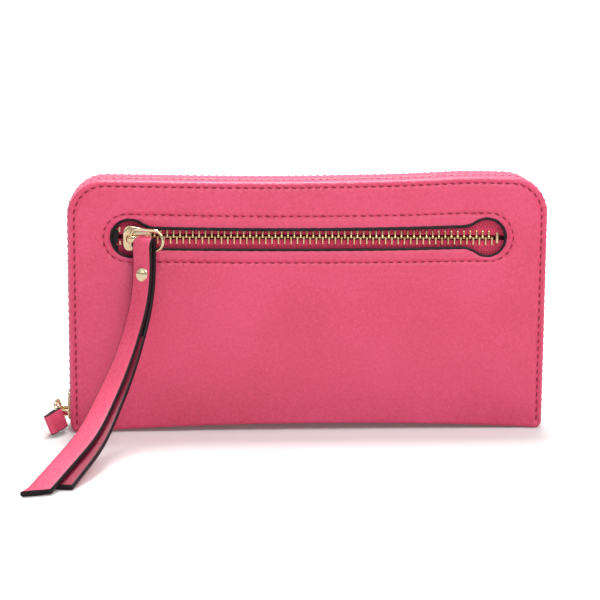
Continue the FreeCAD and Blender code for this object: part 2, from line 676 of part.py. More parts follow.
class Turtle:
    """Draws a smooth open path of lines and arcs in a sketch, heading by heading."""

    def __init__(self, sketch, x, y, heading):
        self.sketch = sketch
        self.place = Vector(x, y, 0)
        self.heading = heading
        self.count = 0

    def join(self, entry, leave):
        if self.count:
            self.sketch.addConstraint(
                Sketcher.Constraint("Tangent", self.count - 1, self.leave, self.count, entry))
        self.leave = leave
        self.count += 1

    def forward(self, length, expression):
        step = Vector(math.cos(self.heading), math.sin(self.heading), 0)
        end = self.place + step * length
        self.sketch.addGeometry(Part.LineSegment(self.place, end))
        self.join(1, 2)
        name = "run%d" % self.count
        bind(self.sketch, name, Sketcher.Constraint("Distance", self.count - 1, length), expression)
        self.place = end

    def turn(self, radius, angle, expression):
        """Arc of signed angle, left turns positive."""
        side = 1 if angle > 0 else -1
        normal = Vector(-math.sin(self.heading), math.cos(self.heading), 0) * side
        centre = self.place + normal * radius
        start = math.atan2(self.place.y - centre.y, self.place.x - centre.x)
        circle = Part.Circle(centre, Vector(0, 0, 1), radius)
        if side > 0:
            self.sketch.addGeometry(Part.ArcOfCircle(circle, start, start + angle))
            self.join(1, 2)
        else:
            self.sketch.addGeometry(Part.ArcOfCircle(circle, start + angle, start))
            self.join(2, 1)
        name = "radius%d" % self.count
        bind(self.sketch, name, Sketcher.Constraint("Radius", self.count - 1, radius), expression)
        end = start + angle
        self.place = centre + Vector(math.cos(end), math.sin(end), 0) * radius
        self.heading += angle


def ring_low_level():
    """Height of the pocket ring's lower wire."""
    return size("slot_level") - (size("pocket_ring_breadth") - size("ring_wire")) / 2


def strap_body(base, rotation):
    """One strip folded over the ring: up the rear leaf, round the wire, down the front leaf.

    Both leaves bend forwards twice and end on a straight slope, tips on the table.
    """
    body = new_body("pull_strap")
    fold = num(FOLD_RADIUS)
    upper_turn = math.radians(size("strap_upper_turn"))
    lower_turn = math.radians(size("strap_lower_turn"))
    slope = math.pi / 2 - upper_turn - lower_turn
    knee = slope + lower_turn
    upper, lower = size("strap_upper_bend"), size("strap_lower_bend")
    tail, rear_tail = size("front_leaf_tail"), num(REAR_TAIL)
    rear_upper, rear_lower = num(REAR_UPPER), num(REAR_LOWER)
    drop = ring_low_level() - size("strap_leaf") / 2 - size("tip_clearance")
    hang = (drop - tail * math.sin(slope) - lower * (math.cos(slope) - math.cos(knee))
            - upper * math.cos(knee))
    rear_run = (rear_tail * math.cos(slope) + rear_lower * (math.sin(knee) - math.sin(slope))
                + rear_upper * (1 - math.sin(knee)))
    path = body.newObject("Sketcher::SketchObject", "pull_strap_path")
    path.AttachmentSupport = [(origin_item(body, "YZ_Plane"), "")]
    path.MapMode = "FlatFace"
    turtle = Turtle(path, fold - rear_run, -drop, slope)
    turtle.forward(rear_tail, REAR_TAIL)
    turtle.turn(rear_lower, lower_turn, REAR_LOWER)
    turtle.turn(rear_upper, upper_turn, REAR_UPPER)
    turtle.forward(hang, "%.6f" % hang)
    turtle.turn(fold, math.pi, FOLD_RADIUS)
    turtle.forward(hang, "%.6f" % hang)
    turtle.turn(upper, -upper_turn, "Sizes.strap_upper_bend")
    turtle.turn(lower, -lower_turn, "Sizes.strap_lower_bend")
    turtle.forward(tail, "Sizes.front_leaf_tail")
    section = new_sketch(body, "section", "XZ_Plane", rear_run - fold)
    section.AttachmentOffset = Placement(Vector(0, -drop, rear_run - fold),
                                         Rotation(Vector(1, 0, 0), math.degrees(slope)))
    section.setExpression("AttachmentOffset.Rotation.Angle", REST_ANGLE + " * 1deg")
    half = "Sizes.strap_width / 2"
    polygon(section, rectangle("-" + half, half, "-Sizes.strap_leaf / 2", "Sizes.strap_leaf / 2"))
    pipe = body.newObject("PartDesign::AdditivePipe", "pull_strap_pipe")
    pipe.Profile = section
    pipe.Spine = path
    body.Tip = pipe
    doc.recompute()
    hole = new_sketch(body, "hole", "XZ_Plane", "Sizes.strap_width")
    circle(hole, 0, "-Sizes.rivet_drop", "Sizes.rivet_post + 0.05")
    pocket(body, hole, "Sizes.strap_width * 2")
    body.Placement = Placement(base, rotation)


def rivet(base, rotation):
    """Domed cap with its post through both leaves, and the washer behind."""
    cap = new_body("rivet_cap")
    seat = "(2 * %s + Sizes.strap_leaf) / 2 + 0.5" % FOLD_RADIUS
    dome = new_sketch(cap, "dome", "XZ_Plane", seat)
    circle(dome, 0, "-Sizes.rivet_drop", "Sizes.rivet_radius")
    pad(cap, dome, "Sizes.rivet_dome")
    front = -num(seat) - size("rivet_dome") + 1e-3
    fillet(cap, "Sizes.rivet_dome * 0.95", lambda edge: edge.BoundBox.YMax < front)
    post = new_sketch(cap, "post", "XZ_Plane", "-(%s)" % seat)
    circle(post, 0, "-Sizes.rivet_drop", "Sizes.rivet_post")
    pad(cap, post, "2 * (%s)" % seat)
    cap.Placement = Placement(base, rotation)
    washer = new_body("rivet_washer")
    ring = new_sketch(washer, "ring", "XZ_Plane", "-(%s) - 0.8" % seat)
    circle(ring, 0, "-Sizes.rivet_drop", "Sizes.rivet_radius")
    pad(washer, ring, 0.7)
    washer.Placement = Placement(base, rotation)


def zip_tab(base, rotation):
    """Short strip folded over the long side of the perimeter zip's ring."""
    body = new_body("main_pull_tab")
    fold = num(TAB_FOLD)
    length = size("tab_length")
    path = body.newObject("Sketcher::SketchObject", "main_pull_tab_path")
    path.AttachmentSupport = [(origin_item(body, "XY_Plane"), "")]
    path.MapMode = "FlatFace"
    turtle = Turtle(path, -length, -fold, 0.0)
    turtle.forward(length, "Sizes.tab_length")
    turtle.turn(fold, math.pi, TAB_FOLD)
    turtle.forward(length, "Sizes.tab_length")
    section = new_sketch(body, "section", "YZ_Plane", "-Sizes.tab_length")
    half = "Sizes.tab_width / 2"
    polygon(section, rectangle("-%s - Sizes.tab_leaf / 2" % TAB_FOLD,
                               "-%s + Sizes.tab_leaf / 2" % TAB_FOLD, "-" + half, half))
    pipe = body.newObject("PartDesign::AdditivePipe", "main_pull_tab_pipe")
    pipe.Profile = section
    pipe.Spine = path
    body.Tip = pipe
    doc.recompute()
    body.Placement = Placement(base, rotation)


def pocket_pull():
    """Ring, strap and rivet of the pocket zip, each in its own frame at the bail that carries it."""
    turn = Rotation(Vector(0, 0, 1), -size("pull_turn"))
    hook = Vector(num("Sizes.pocket_slider_left + 1.4 + Sizes.bail_wall + Sizes.ring_wire / 2 + 0.2"),
                  num(FACE) - size("pocket_ring_standoff"), size("slot_level"))
    wire_ring("pocket_pull_ring", "pocket", hook, turn)
    hang = hook + turn.multVec(Vector(size("strap_offset"), 0, 0))
    hang.z = ring_low_level()
    strap_body(hang, turn)
    rivet(hang, turn)


def main_pull():
    """Ring and tab of the perimeter zip, turned towards the front of the wallet."""
    hook = Vector(num(MAIN_CROWN) - size("main_ring_standoff"), -size("main_ring_forward"),
                  size("main_ring_level"))
    heading = Rotation(Vector(0, 0, 1), -size("main_ring_turn"))
    reach = heading.multVec(Vector(1, 0, 0))
    turn = Rotation(reach, size("main_ring_lean")) * heading
    wire_ring("main_pull_ring", "main", hook, turn)
    far_side = turn.multVec(Vector(num("Sizes.main_ring_length - Sizes.ring_wire"), 0, 0))
    zip_tab(hook + far_side, turn * Rotation(Vector(0, 0, 1), 180 - size("tab_turn")))


# ---------------------------------------------------------------- coin pocket
def coin_pocket():
    """Divider panels and the tapes along their top edge."""
    half = "Sizes.divider_half_width"
    near, far = "Sizes.divider_front", "Sizes.divider_back"
    cloth = "Sizes.divider_cloth"
    top = "Sizes.divider_top"
    sheet_part("coin_pocket_front", near, near + " + " + cloth, half, FOOT, top)
    sheet_part("coin_pocket_back", far + " - " + cloth, far, half, FOOT, top)
    low, high = top + " + 0.1", top + " + 0.6"
    sheet_part("coin_zip_tape_front", near, DIVIDER_MIDDLE + " - 0.25", half + " - 1", low, high)
    sheet_part("coin_zip_tape_back", DIVIDER_MIDDLE + " + 0.25", far, half + " - 1", low, high)


def coin_teeth(label, side, stagger):
    """One row of the small zip: each tooth grips the edge of its tape."""
    body = new_body(label)
    start = "Sizes.coin_row_start + Sizes.coin_pitch * %s" % stagger
    sketch = new_sketch(body, "tooth", "YZ_Plane", start)
    section = [(-0.2, -0.4), (1.2, -0.4), (1.2, 0.05), (0.2, 0.05), (0.2, 0.65), (1.2, 0.65),
               (1.2, 1.1), (-0.2, 1.1)]
    polygon(sketch, [("%s + %s" % (DIVIDER_MIDDLE, side * across), "Sizes.divider_top + %s" % up)
                     for across, up in section])
    feature = pad(body, sketch, "Sizes.coin_tooth_length")
    pattern_along_x(body, feature, COIN_TEETH, "Sizes.coin_pitch")


def coin_slider():
    """Small slider on top of the divider, with the loop that holds its puller."""
    top = "Sizes.divider_top"
    shape = shield("Sizes.coin_slider_left", "Sizes.coin_slider_length", "Sizes.coin_slider_nose",
                   "Sizes.coin_slider_tail", DIVIDER_MIDDLE, 1)
    body = new_body("coin_slider")
    crown = new_sketch(body, "crown", "XY_Plane", top + " + 1.3")
    polygon(crown, shape)
    pad(body, crown, 0.7)
    base = new_sketch(body, "base", "XY_Plane", top + " - 1.2")
    polygon(base, shape)
    pad(body, base, 0.6)
    loop = new_sketch(body, "loop", "XZ_Plane", "-(%s + Sizes.coin_loop_wall / 2)" % DIVIDER_MIDDLE)
    left, wall = "Sizes.coin_loop_left", "Sizes.coin_loop_wall"
    right = left + " + Sizes.coin_loop_length"
    foot = top + " + 2"
    roof = foot + " + Sizes.coin_loop_height"
    ceiling = roof + " - 0.6"
    polygon(loop, [(left, foot), (left, roof), (right, roof), (right, foot),
                   (right + " - " + wall, foot), (right + " - " + wall, ceiling),
                   (left + " + " + wall, ceiling), (left + " + " + wall, foot)])
    pad(body, loop, wall)


def coin_puller():
    """Flat puller whose window hangs on the loop."""
    body = new_body("coin_puller")
    sketch = new_sketch(body, "plate", "XY_Plane", "Sizes.divider_top + 2.5")
    left = "Sizes.coin_puller_left"
    half = "Sizes.coin_puller_width / 2"
    polygon(sketch, rectangle(left, left + " + Sizes.coin_puller_length",
                              DIVIDER_MIDDLE + " - " + half, DIVIDER_MIDDLE + " + " + half))
    polygon(sketch, rectangle(left + " + 1", left + " + 5.8",
                              DIVIDER_MIDDLE + " - 0.8", DIVIDER_MIDDLE + " + 0.8"))
    pad(body, sketch, "Sizes.coin_puller_plate")


def check_and_write():
    """Stop on any failed object or bad shape, then write one file per sub-part."""
    doc.recompute()
    for item in doc.Objects:
        if "Invalid" in item.State or "Error" in item.State:
            raise RuntimeError("%s failed: %s" % (item.Label, item.State))
    for item in parts:
        if item.Shape.isNull() or not item.Shape.isValid() or not item.Shape.Solids:
            raise RuntimeError(item.Label + " has no valid solid")
    os.makedirs("parts", exist_ok=True)
    for item in parts:
        item.Shape.exportStep("parts/%s.step" % item.Label)
    print("%d sub-parts written" % len(parts))


covers()
card_slips()
gusset("left_gusset", -1)
gusset("right_gusset", 1)
pocket_zip()
pocket_slider()
perimeter_zip()
main_slider()
pocket_pull()
main_pull()
coin_pocket()
coin_teeth("coin_teeth_front", -1, 0)
coin_teeth("coin_teeth_back", 1, 0.5)
coin_slider()
coin_puller()
check_and_write()
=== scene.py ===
import json
import math
import bmesh
import bpy
import numpy as np
from mathutils import Matrix, Vector, noise
from mathutils.geometry import delaunay_2d_cdt


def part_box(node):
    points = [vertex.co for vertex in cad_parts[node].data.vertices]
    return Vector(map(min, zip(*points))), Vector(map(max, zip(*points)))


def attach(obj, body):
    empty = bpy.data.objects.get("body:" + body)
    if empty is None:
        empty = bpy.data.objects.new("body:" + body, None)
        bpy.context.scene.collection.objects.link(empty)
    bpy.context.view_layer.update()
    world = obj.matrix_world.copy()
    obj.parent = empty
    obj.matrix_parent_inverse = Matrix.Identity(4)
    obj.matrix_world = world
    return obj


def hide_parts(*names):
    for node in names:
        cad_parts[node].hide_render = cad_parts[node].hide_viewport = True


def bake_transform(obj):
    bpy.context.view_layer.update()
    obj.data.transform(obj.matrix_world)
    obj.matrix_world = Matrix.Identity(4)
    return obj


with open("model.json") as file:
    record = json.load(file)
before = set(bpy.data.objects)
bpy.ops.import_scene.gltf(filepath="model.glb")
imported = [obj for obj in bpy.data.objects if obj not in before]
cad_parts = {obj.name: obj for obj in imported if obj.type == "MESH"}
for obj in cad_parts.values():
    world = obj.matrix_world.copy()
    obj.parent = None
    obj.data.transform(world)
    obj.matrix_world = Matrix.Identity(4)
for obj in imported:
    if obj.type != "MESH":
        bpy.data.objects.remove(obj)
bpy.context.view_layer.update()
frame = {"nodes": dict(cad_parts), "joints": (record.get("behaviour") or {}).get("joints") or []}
MM = 0.001


# ------------------------------------------------------------------ sizes from the frame, in mm
def span(node):
    """Lowest and highest corner of a CAD node, in mm."""
    low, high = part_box(node)
    return Vector(low) / MM, Vector(high) / MM


def joint(name):
    return next(j for j in frame["joints"] if j["name"] == name)


LOW, HIGH = span("front_leather")
HALF_W, TOP, FACE_Y = HIGH.x, HIGH.z, LOW.y
LEATHER = HIGH.y - LOW.y
BACK_Y = span("back_leather")[1].y
CHAIN_Y = span("pocket_teeth_upper")[0].y + 1.2
SLOT_Z = (span("pocket_slider")[0].z + span("pocket_slider")[1].z) / 2

# Outline of the covers: radius of the top corners and of the bottom ones.
CORNER, FOOT = 15.0, 3.2
# Keyhole slot: half height, radius and centre of its round ends, fillet into them, fall per mm of x.
SLOT_HALF, SLOT_END_R, SLOT_END_X, SLOT_FLARE, SLOT_SLOPE = 4.3, 7.7, 73.4, 10.0, 0.007
# Seams: inset from the cover's edge, stitch pitch outside and inside, and the seam round the slot.
SEAM_INSET, SEAM_PITCH, FINE_PITCH = 2.4, 3.25, 3.0
STADIUM_R, STADIUM_X = 9.8, 74.5
# One stitch: (place along it, swelling) per ring, and how far its ends sink.
STITCH_SHAPE = ((-1.0, 0.05), (-0.86, 0.62), (-0.5, 0.95), (0.0, 1.0), (0.5, 0.95), (0.86, 0.62),
                (1.0, 0.05))
STITCH_DIP = 0.42
# Tooth pitch of the two outer zips and of the coin zip.
ZIP_PITCH, COIN_PITCH = 2.6, 2.0
# The perimeter zip: how far its band and its chain lie inside the covers, and where its teeth start.
BAND_INSET, CHAIN_INSET, CHAIN_START = 0.45, 0.95, 15.3
# The wire of both rings, and the hole that a folded strip leaves for it.
WIRE_R, WIRE_HOLE_R = 0.72, 0.95
# A slider's half width between its flanges, and the height of its crown over the chain.
SLIDER_WAIST, CROWN = 4.65, 2.4


# ------------------------------------------------------------------ material helpers
class Nodes:
    """Small wrapper that adds and links shader nodes."""

    def __init__(self, name):
        self.material = bpy.data.materials.new(name)
        self.material.use_nodes = True
        self.tree = self.material.node_tree
        self.tree.nodes.clear()
        self.out = self.tree.nodes.new("ShaderNodeOutputMaterial")
        self.bsdf = self.tree.nodes.new("ShaderNodeBsdfPrincipled")
        self.link(self.bsdf.outputs[0], self.out.inputs[0])
        self.coords = self.tree.nodes.new("ShaderNodeTexCoord").outputs["Object"]

    def link(self, source, target):
        self.tree.links.new(source, target)

    def give(self, socket, value):
        """Links or sets an input, whichever the value asks for."""
        if hasattr(value, "is_linked"):
            self.link(value, socket)
        else:
            socket.default_value = (*value, 1.0) if isinstance(value, tuple) else value

    def add(self, kind, **values):
        node = self.tree.nodes.new(kind)
        for key, value in values.items():
            if key in node.inputs:
                self.give(node.inputs[key], value)
            else:
                setattr(node, key, value)
        return node

    def noise(self, scale, detail=3.0, roughness=0.5):
        return self.add("ShaderNodeTexNoise", Vector=self.coords, Scale=scale, Detail=detail,
                        Roughness=roughness).outputs["Fac"]

    def cells(self, scale):
        return self.add("ShaderNodeTexVoronoi", feature="SMOOTH_F1", Vector=self.coords,
                        Scale=scale).outputs["Distance"]

    def math(self, operation, a, b=0.0, clamp=False):
        node = self.tree.nodes.new("ShaderNodeMath")
        node.operation = operation
        node.use_clamp = clamp
        for socket, value in zip(node.inputs, (a, b)):
            self.give(socket, value)
        return node.outputs[0]

    def ramp(self, factor, stops):
        node = self.tree.nodes.new("ShaderNodeValToRGB")
        self.link(factor, node.inputs[0])
        elements = node.color_ramp.elements
        while len(elements) < len(stops):
            elements.new(0.5)
        for element, (place, colour) in zip(elements, stops):
            element.position = place
            element.color = (*colour, 1.0)
        return node.outputs[0]

    def mix(self, factor, a, b, blend="MIX"):
        node = self.tree.nodes.new("ShaderNodeMix")
        node.data_type = "RGBA"
        node.blend_type = blend
        for socket, value in ((node.inputs[0], factor), (node.inputs[6], a), (node.inputs[7], b)):
            self.give(socket, value)
        return node.outputs[2]

    def bump(self, height, strength, distance, **normal):
        return self.add("ShaderNodeBump", Height=height, Strength=strength, Distance=distance,
                        **normal).outputs[0]

    def finish(self, colour, roughness, normal=None, metallic=0.0, **extra):
        values = {"Base Color": colour, "Roughness": roughness, "Metallic": metallic, **extra}
        for key, value in values.items():
            self.give(self.bsdf.inputs[key], value)
        if normal is not None:
            self.link(normal, self.bsdf.inputs["Normal"])
        return self.material


def srgb(r, g, b):
    """Linear colour from an 8-bit display colour."""
    def linear(v):
        v /= 255.0
        return v / 12.92 if v <= 0.04045 else ((v + 0.055) / 1.055) ** 2.4
    return linear(r), linear(g), linear(b)


def leather(name, dark, mid, light, grain=1.0, rough=0.40, shine=0.42):
    """Faux leather: fine pebble grain with creases, slow colour drift and a soft sheen."""
    n = Nodes(name)
    pebble = n.cells(1150.0)
    crease = n.noise(620.0, 6.0, 0.65)
    drift = n.noise(28.0, 2.0)
    mottle = n.noise(780.0, 5.0, 0.7)
    tone = n.math("ADD", n.math("MULTIPLY", drift, 0.4), n.math("MULTIPLY", mottle, 0.6))
    base = n.ramp(tone, [(0.30, dark), (0.50, mid), (0.72, light)])
    pores = n.math("MULTIPLY", n.math("SUBTRACT", 0.55, pebble, clamp=True), 0.35)
    colour = n.mix(n.math("SUBTRACT", 0.25, pores, clamp=True), base, dark, "MULTIPLY")
    height = n.math("ADD", n.math("MULTIPLY", pebble, 0.6), n.math("MULTIPLY", crease, 0.7))
    fine = n.bump(height, 0.8 * grain, 0.00032)
    broad = n.bump(n.noise(140.0, 3.0), 0.16 * grain, 0.0005, Normal=fine)
    uneven = n.math("ADD", rough, n.math("MULTIPLY", crease, 0.22))
    return n.finish(colour, uneven, broad, **{"Specular IOR Level": shine, "Coat Weight": 0.1,
                                              "Coat Roughness": 0.45})


def edge_paint_and_shade():
    """Thick dark paint on cut leather edges: smooth, a little uneven, paler dark brown in random
    patches.
    """
    n = Nodes("edge_paint_and_shade")
    wobble = n.noise(420.0, 3.0)
    colour = n.ramp(wobble, [(0.3, srgb(15, 9, 12)), (0.7, srgb(33, 24, 28))])
    bump = n.bump(n.noise(900.0, 2.0), 0.25, 0.0002)
    return n.finish(colour, n.math("ADD", 0.36, n.math("MULTIPLY", wobble, 0.25)), bump,
                    **{"Specular IOR Level": 0.3})


def gold(name, rough, dull, bright):
    """Pale gold plate with faint polishing marks and slight tarnish in places."""
    n = Nodes(name)
    marks = n.noise(1600.0, 4.0, 0.7)
    tarnish = n.noise(220.0, 3.0)
    colour = n.ramp(tarnish, [(0.3, dull), (0.6, bright)])
    bump = n.bump(marks, 0.08, 0.00008)
    return n.finish(colour, n.math("ADD", rough - 0.05, n.math("MULTIPLY", marks, 0.16)), bump,
                    metallic=1.0)


def woven(name, dark, light, thread=0.00042, axis="XZ"):
    """Woven tape: diagonal ribs crossed by fine yarns. axis names the tape's own plane."""
    n = Nodes(name)
    split = n.add("ShaderNodeSeparateXYZ", Vector=n.coords)
    u, v = split.outputs[axis[0]], split.outputs[axis[1]]
    scale = math.pi / thread
    zig = n.math("PINGPONG", n.math("MULTIPLY", v, 0.5 / thread), 1.0)
    rib = n.math("SINE", n.math("ADD", n.math("MULTIPLY", u, scale), n.math("MULTIPLY", zig, 4.0)))
    yarn = n.math("SINE", n.math("MULTIPLY", v, scale * 1.5))
    weave = n.math("ADD", n.math("MULTIPLY", rib, 0.5), n.math("MULTIPLY", yarn, 0.3))
    weave = n.math("ADD", n.math("MULTIPLY", weave, 0.5), 0.5)
    fuzz = n.noise(2600.0, 3.0)
    colour = n.ramp(n.math("ADD", n.math("MULTIPLY", weave, 0.75), n.math("MULTIPLY", fuzz, 0.25)),
                    [(0.15, dark), (0.8, light)])
    return n.finish(colour, 0.85, n.bump(weave, 0.8, 0.00018), **{"Sheen Weight": 0.25})


def thread(name, dark, light):
    """Twisted sewing thread."""
    n = Nodes(name)
    twist = n.add("ShaderNodeTexWave", bands_direction="DIAGONAL", Vector=n.coords, Scale=900.0,
                  Distortion=1.5).outputs["Fac"]
    return n.finish(n.ramp(twist, [(0.1, dark), (0.9, light)]), 0.6, n.bump(twist, 0.5, 0.0001))


def cardboard():
    n = Nodes("stiffener_board")
    fibre = n.noise(700.0, 5.0, 0.7)
    colour = n.ramp(fibre, [(0.3, srgb(120, 104, 84)), (0.7, srgb(158, 140, 116))])
    return n.finish(colour, 0.9, n.bump(fibre, 0.4, 0.0002))


PINK = leather("pink_leather", srgb(202, 55, 94), srgb(216, 66, 109), srgb(225, 77, 122), shine=0.65)
STRAP_PINK = leather("strap_leather", srgb(200, 64, 98), srgb(213, 78, 112), srgb(224, 94, 128),
                     0.9, 0.54, 0.3)
# Darker crimson for the strap's inner faces below the black zone: painted shade between the two leaves.
STRAP_SHADE = leather("strap_painted_shade", srgb(120, 10, 44), srgb(148, 18, 58), srgb(164, 28, 70), 0.7, 0.6)
# The edge paint material is also used as painted shade: on the strap's inner faces near the fold, on the
# black sheet at the slot's left end, and as the extra width of the slot bead's upper side.
BLACK = edge_paint_and_shade()
GOLD = gold("light_gold", 0.12, srgb(234, 208, 156), srgb(250, 234, 200))
GOLD_TEETH = gold("teeth_gold", 0.25, srgb(222, 192, 136), srgb(246, 226, 178))
# Pocket and coin zip tape: a darker copy of the side tape, whose dark crimson is painted shade for the
# tape lying in the slot's shade.
TAPE = woven("zip_tape", srgb(150, 22, 52), srgb(222, 60, 100), 0.0006)
TAPE_SIDE = woven("zip_tape_side", srgb(176, 44, 80), srgb(228, 92, 130), axis="YZ")
THREAD = thread("seam_thread", srgb(112, 8, 36), srgb(156, 22, 58))
LINING = woven("lining_twill", srgb(96, 20, 40), srgb(150, 44, 68), 0.0003)
SLIP = leather("slip_leather", srgb(176, 50, 84), srgb(198, 66, 100), srgb(210, 80, 114), 0.8)
BOARD = cardboard()


# ------------------------------------------------------------------ mesh helpers
def build(name, verts, faces, materials, body, slot, indices=None, node=None, cut=None):
    """Smooth mesh object from mm coordinates, riding on a body and standing for a CAD node.
    indices gives a material per face, cut the angle in degrees from which an edge is sharp."""
    mesh = bpy.data.meshes.new(name)
    mesh.from_pydata([tuple(c * MM for c in v) for v in verts], [], faces)
    for material in materials:
        mesh.materials.append(material)
    if indices is not None:
        mesh.polygons.foreach_set("material_index", indices)
    work = bmesh.new()
    work.from_mesh(mesh)
    bmesh.ops.remove_doubles(work, verts=work.verts, dist=1e-7)
    bmesh.ops.recalc_face_normals(work, faces=work.faces)
    for face in work.faces:
        face.smooth = True
    work.to_mesh(mesh)
    work.free()
    if cut is not None:
        mesh.set_sharp_from_angle(angle=math.radians(cut))
    thing = bpy.data.objects.new(name, mesh)
    bpy.context.scene.collection.objects.link(thing)
    if body is not None:
        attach(thing, body)
    if node:
        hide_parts(node)
    return thing


class Bag:
    """Collects vertices and faces of many small shapes into one mesh."""

    def __init__(self):
        self.verts, self.faces = [], []

    def add(self, verts, faces):
        first = len(self.verts)
        self.verts.extend(verts)
        self.faces.extend([tuple(first + i for i in face) for face in faces])

    def build(self, name, material, body, slot, **options):
        build(name, self.verts, self.faces, [material], body, slot, **options)


def smoothstep(t):
    t = max(0.0, min(1.0, t))
    return t * t * (3.0 - 2.0 * t)


def foot_lift(x, y, z):
    """The middle of the front foot stands a little off the table."""
    lift, reach_up, fade_from, fade_over = 2.9, 38.0, -6.0, 14.0
    side = min(1.0, abs(x) / HALF_W)
    foot = max(0.0, 1.0 - z / reach_up) ** 2
    behind = smoothstep((y - fade_from) / fade_over)
    return x, y, z + lift * (1.0 - side ** 2.2) * foot * (1.0 - behind)


def wave(x, height, place, width):
    """Smooth bump of a given height and width at a place."""
    return height * math.exp(-((x - place) / width) ** 2)


def slouch(x, y, z):
    """How the standing wallet settles: lifted foot, slight sag and swell along the top."""
    still_below = 40.0
    crest = smoothstep((z - still_below) / (TOP - still_below))
    sag = wave(x, 1.3, -18.0, 62.0) * crest
    swell = wave(x, 0.9, 68.0, 20.0) * crest
    x, y, z = foot_lift(x, y, z)
    return x, y, z - sag + swell


def resample(points, step, closed=True):
    """Evenly spaced points along a polyline of tuples."""
    pts = [Vector(p) for p in points]
    if closed:
        pts.append(pts[0])
    lengths = [0.0]
    for a, b in zip(pts, pts[1:]):
        lengths.append(lengths[-1] + (b - a).length)
    count = max(3, int(round(lengths[-1] / step)))
    total = count if closed else count + 1
    result, k = [], 0
    for i in range(total):
        d = lengths[-1] * i / count
        while k < len(pts) - 2 and lengths[k + 1] < d:
            k += 1
        gap = lengths[k + 1] - lengths[k] or 1.0
        result.append(pts[k].lerp(pts[k + 1], (d - lengths[k]) / gap))
    return result


def arc_points(cx, cz, radius, start, end, count=14):
    """Points of an arc, angles in degrees."""
    steps = [math.radians(start + (end - start) * i / count) for i in range(count + 1)]
    return [(cx + radius * math.cos(a), cz + radius * math.sin(a)) for a in steps]


def block_outline(half_w, low, high, top_r, foot_r):
    """Upright rectangle with rounded corners, anticlockwise from the lower left."""
    pts = arc_points(-half_w + foot_r, low + foot_r, foot_r, 180, 270, 6)
    pts += arc_points(half_w - foot_r, low + foot_r, foot_r, 270, 360, 6)
    pts += arc_points(half_w - top_r, high - top_r, top_r, 0, 90)
    pts += arc_points(-half_w + top_r, high - top_r, top_r, 90, 180)
    return pts


def slot_outline(grow=0.0):
    """Keyhole slot, anticlockwise, moved outwards by grow."""
    half, radius, flare = SLOT_HALF + grow, SLOT_END_R + grow, SLOT_FLARE - grow
    reach = math.sqrt((radius + flare) ** 2 - (half + flare) ** 2)
    straight = SLOT_END_X - reach
    lean = math.degrees(math.atan2(half + flare, reach))
    pts = arc_points(SLOT_END_X, 0, radius, lean - 180, 180 - lean, 40)
    pts += arc_points(straight, half + flare, flare, -lean, -90, 8)
    pts += arc_points(-straight, half + flare, flare, -90, lean - 180, 8)
    pts += arc_points(-SLOT_END_X, 0, radius, lean, 360 - lean, 40)
    pts += arc_points(-straight, -half - flare, flare, 180 - lean, 90, 8)
    pts += arc_points(straight, -half - flare, flare, 90, lean, 8)
    return [(x, z + SLOT_Z - SLOT_SLOPE * x) for x, z in pts]


def stadium(radius=STADIUM_R):
    pts = arc_points(STADIUM_X, SLOT_Z, radius, -90, 90, 24)
    pts += arc_points(-STADIUM_X, SLOT_Z, radius, 90, 270, 24)
    return [(x, z - SLOT_SLOPE * x) for x, z in pts]


def shrinking(half_w, low, high, top_r, foot_r, top_ease=1.0, foot_ease=1.0):
    """Outline of a rounded panel as a function of how far inside its edge it runs."""
    return lambda inset: block_outline(half_w - inset, low + inset, high - inset,
                                       top_r - inset * top_ease, foot_r - inset * foot_ease)


def block_depth(x, z, half_w, low, high, top_r, foot_r):
    """Distance inside the outline of a rounded block."""
    middle, half_h = (low + high) / 2, (high - low) / 2
    r = top_r if z > middle else foot_r
    qx, qz = abs(x) - half_w + r, abs(z - middle) - half_h + r
    return r - math.hypot(max(qx, 0.0), max(qz, 0.0)) - min(max(qx, qz), 0.0)


def inside(point, outline):
    x, z = point
    hit = False
    j = len(outline) - 1
    for i in range(len(outline)):
        xi, zi = outline[i]
        xj, zj = outline[j]
        if (zi > z) != (zj > z) and x < (xj - xi) * (z - zi) / (zj - zi) + xi:
            hit = not hit
        j = i
    return hit


def fill(loops, grid, bounds, hole=None):
    """Triangles over a region: loops are kept as edges, the rest is a loose grid."""
    points, edges = [], []
    for loop in loops:
        first = len(points)
        points.extend(Vector((p[0], p[1])) for p in loop)
        edges.extend((first + i, first + (i + 1) % len(loop)) for i in range(len(loop)))
    taken = np.array([(p.x, p.y) for p in points])
    outer = [(p[0], p[1]) for p in loops[0]]
    x0, x1, z0, z1 = bounds
    columns, rows = int((x1 - x0) / grid), int((z1 - z0) / grid)
    for j in range(rows + 1):
        for i in range(columns + 1):
            x = x0 + (x1 - x0) * (i + 0.5 * (j % 2)) / columns
            z = z0 + (z1 - z0) * j / rows
            if np.min((taken[:, 0] - x) ** 2 + (taken[:, 1] - z) ** 2) < (0.62 * grid) ** 2:
                continue
            if inside((x, z), outer) and not (hole and inside((x, z), hole)):
                points.append(Vector((x, z)))
    verts, _, faces, *_ = delaunay_2d_cdt(points, edges, [], 1, 1e-5)
    kept = []
    for face in faces:
        centre = sum((verts[i] for i in face), Vector((0, 0))) / len(face)
        if hole and inside((centre.x, centre.y), hole):
            continue
        if inside((centre.x, centre.y), outer):
            kept.append(face)
    return verts, kept


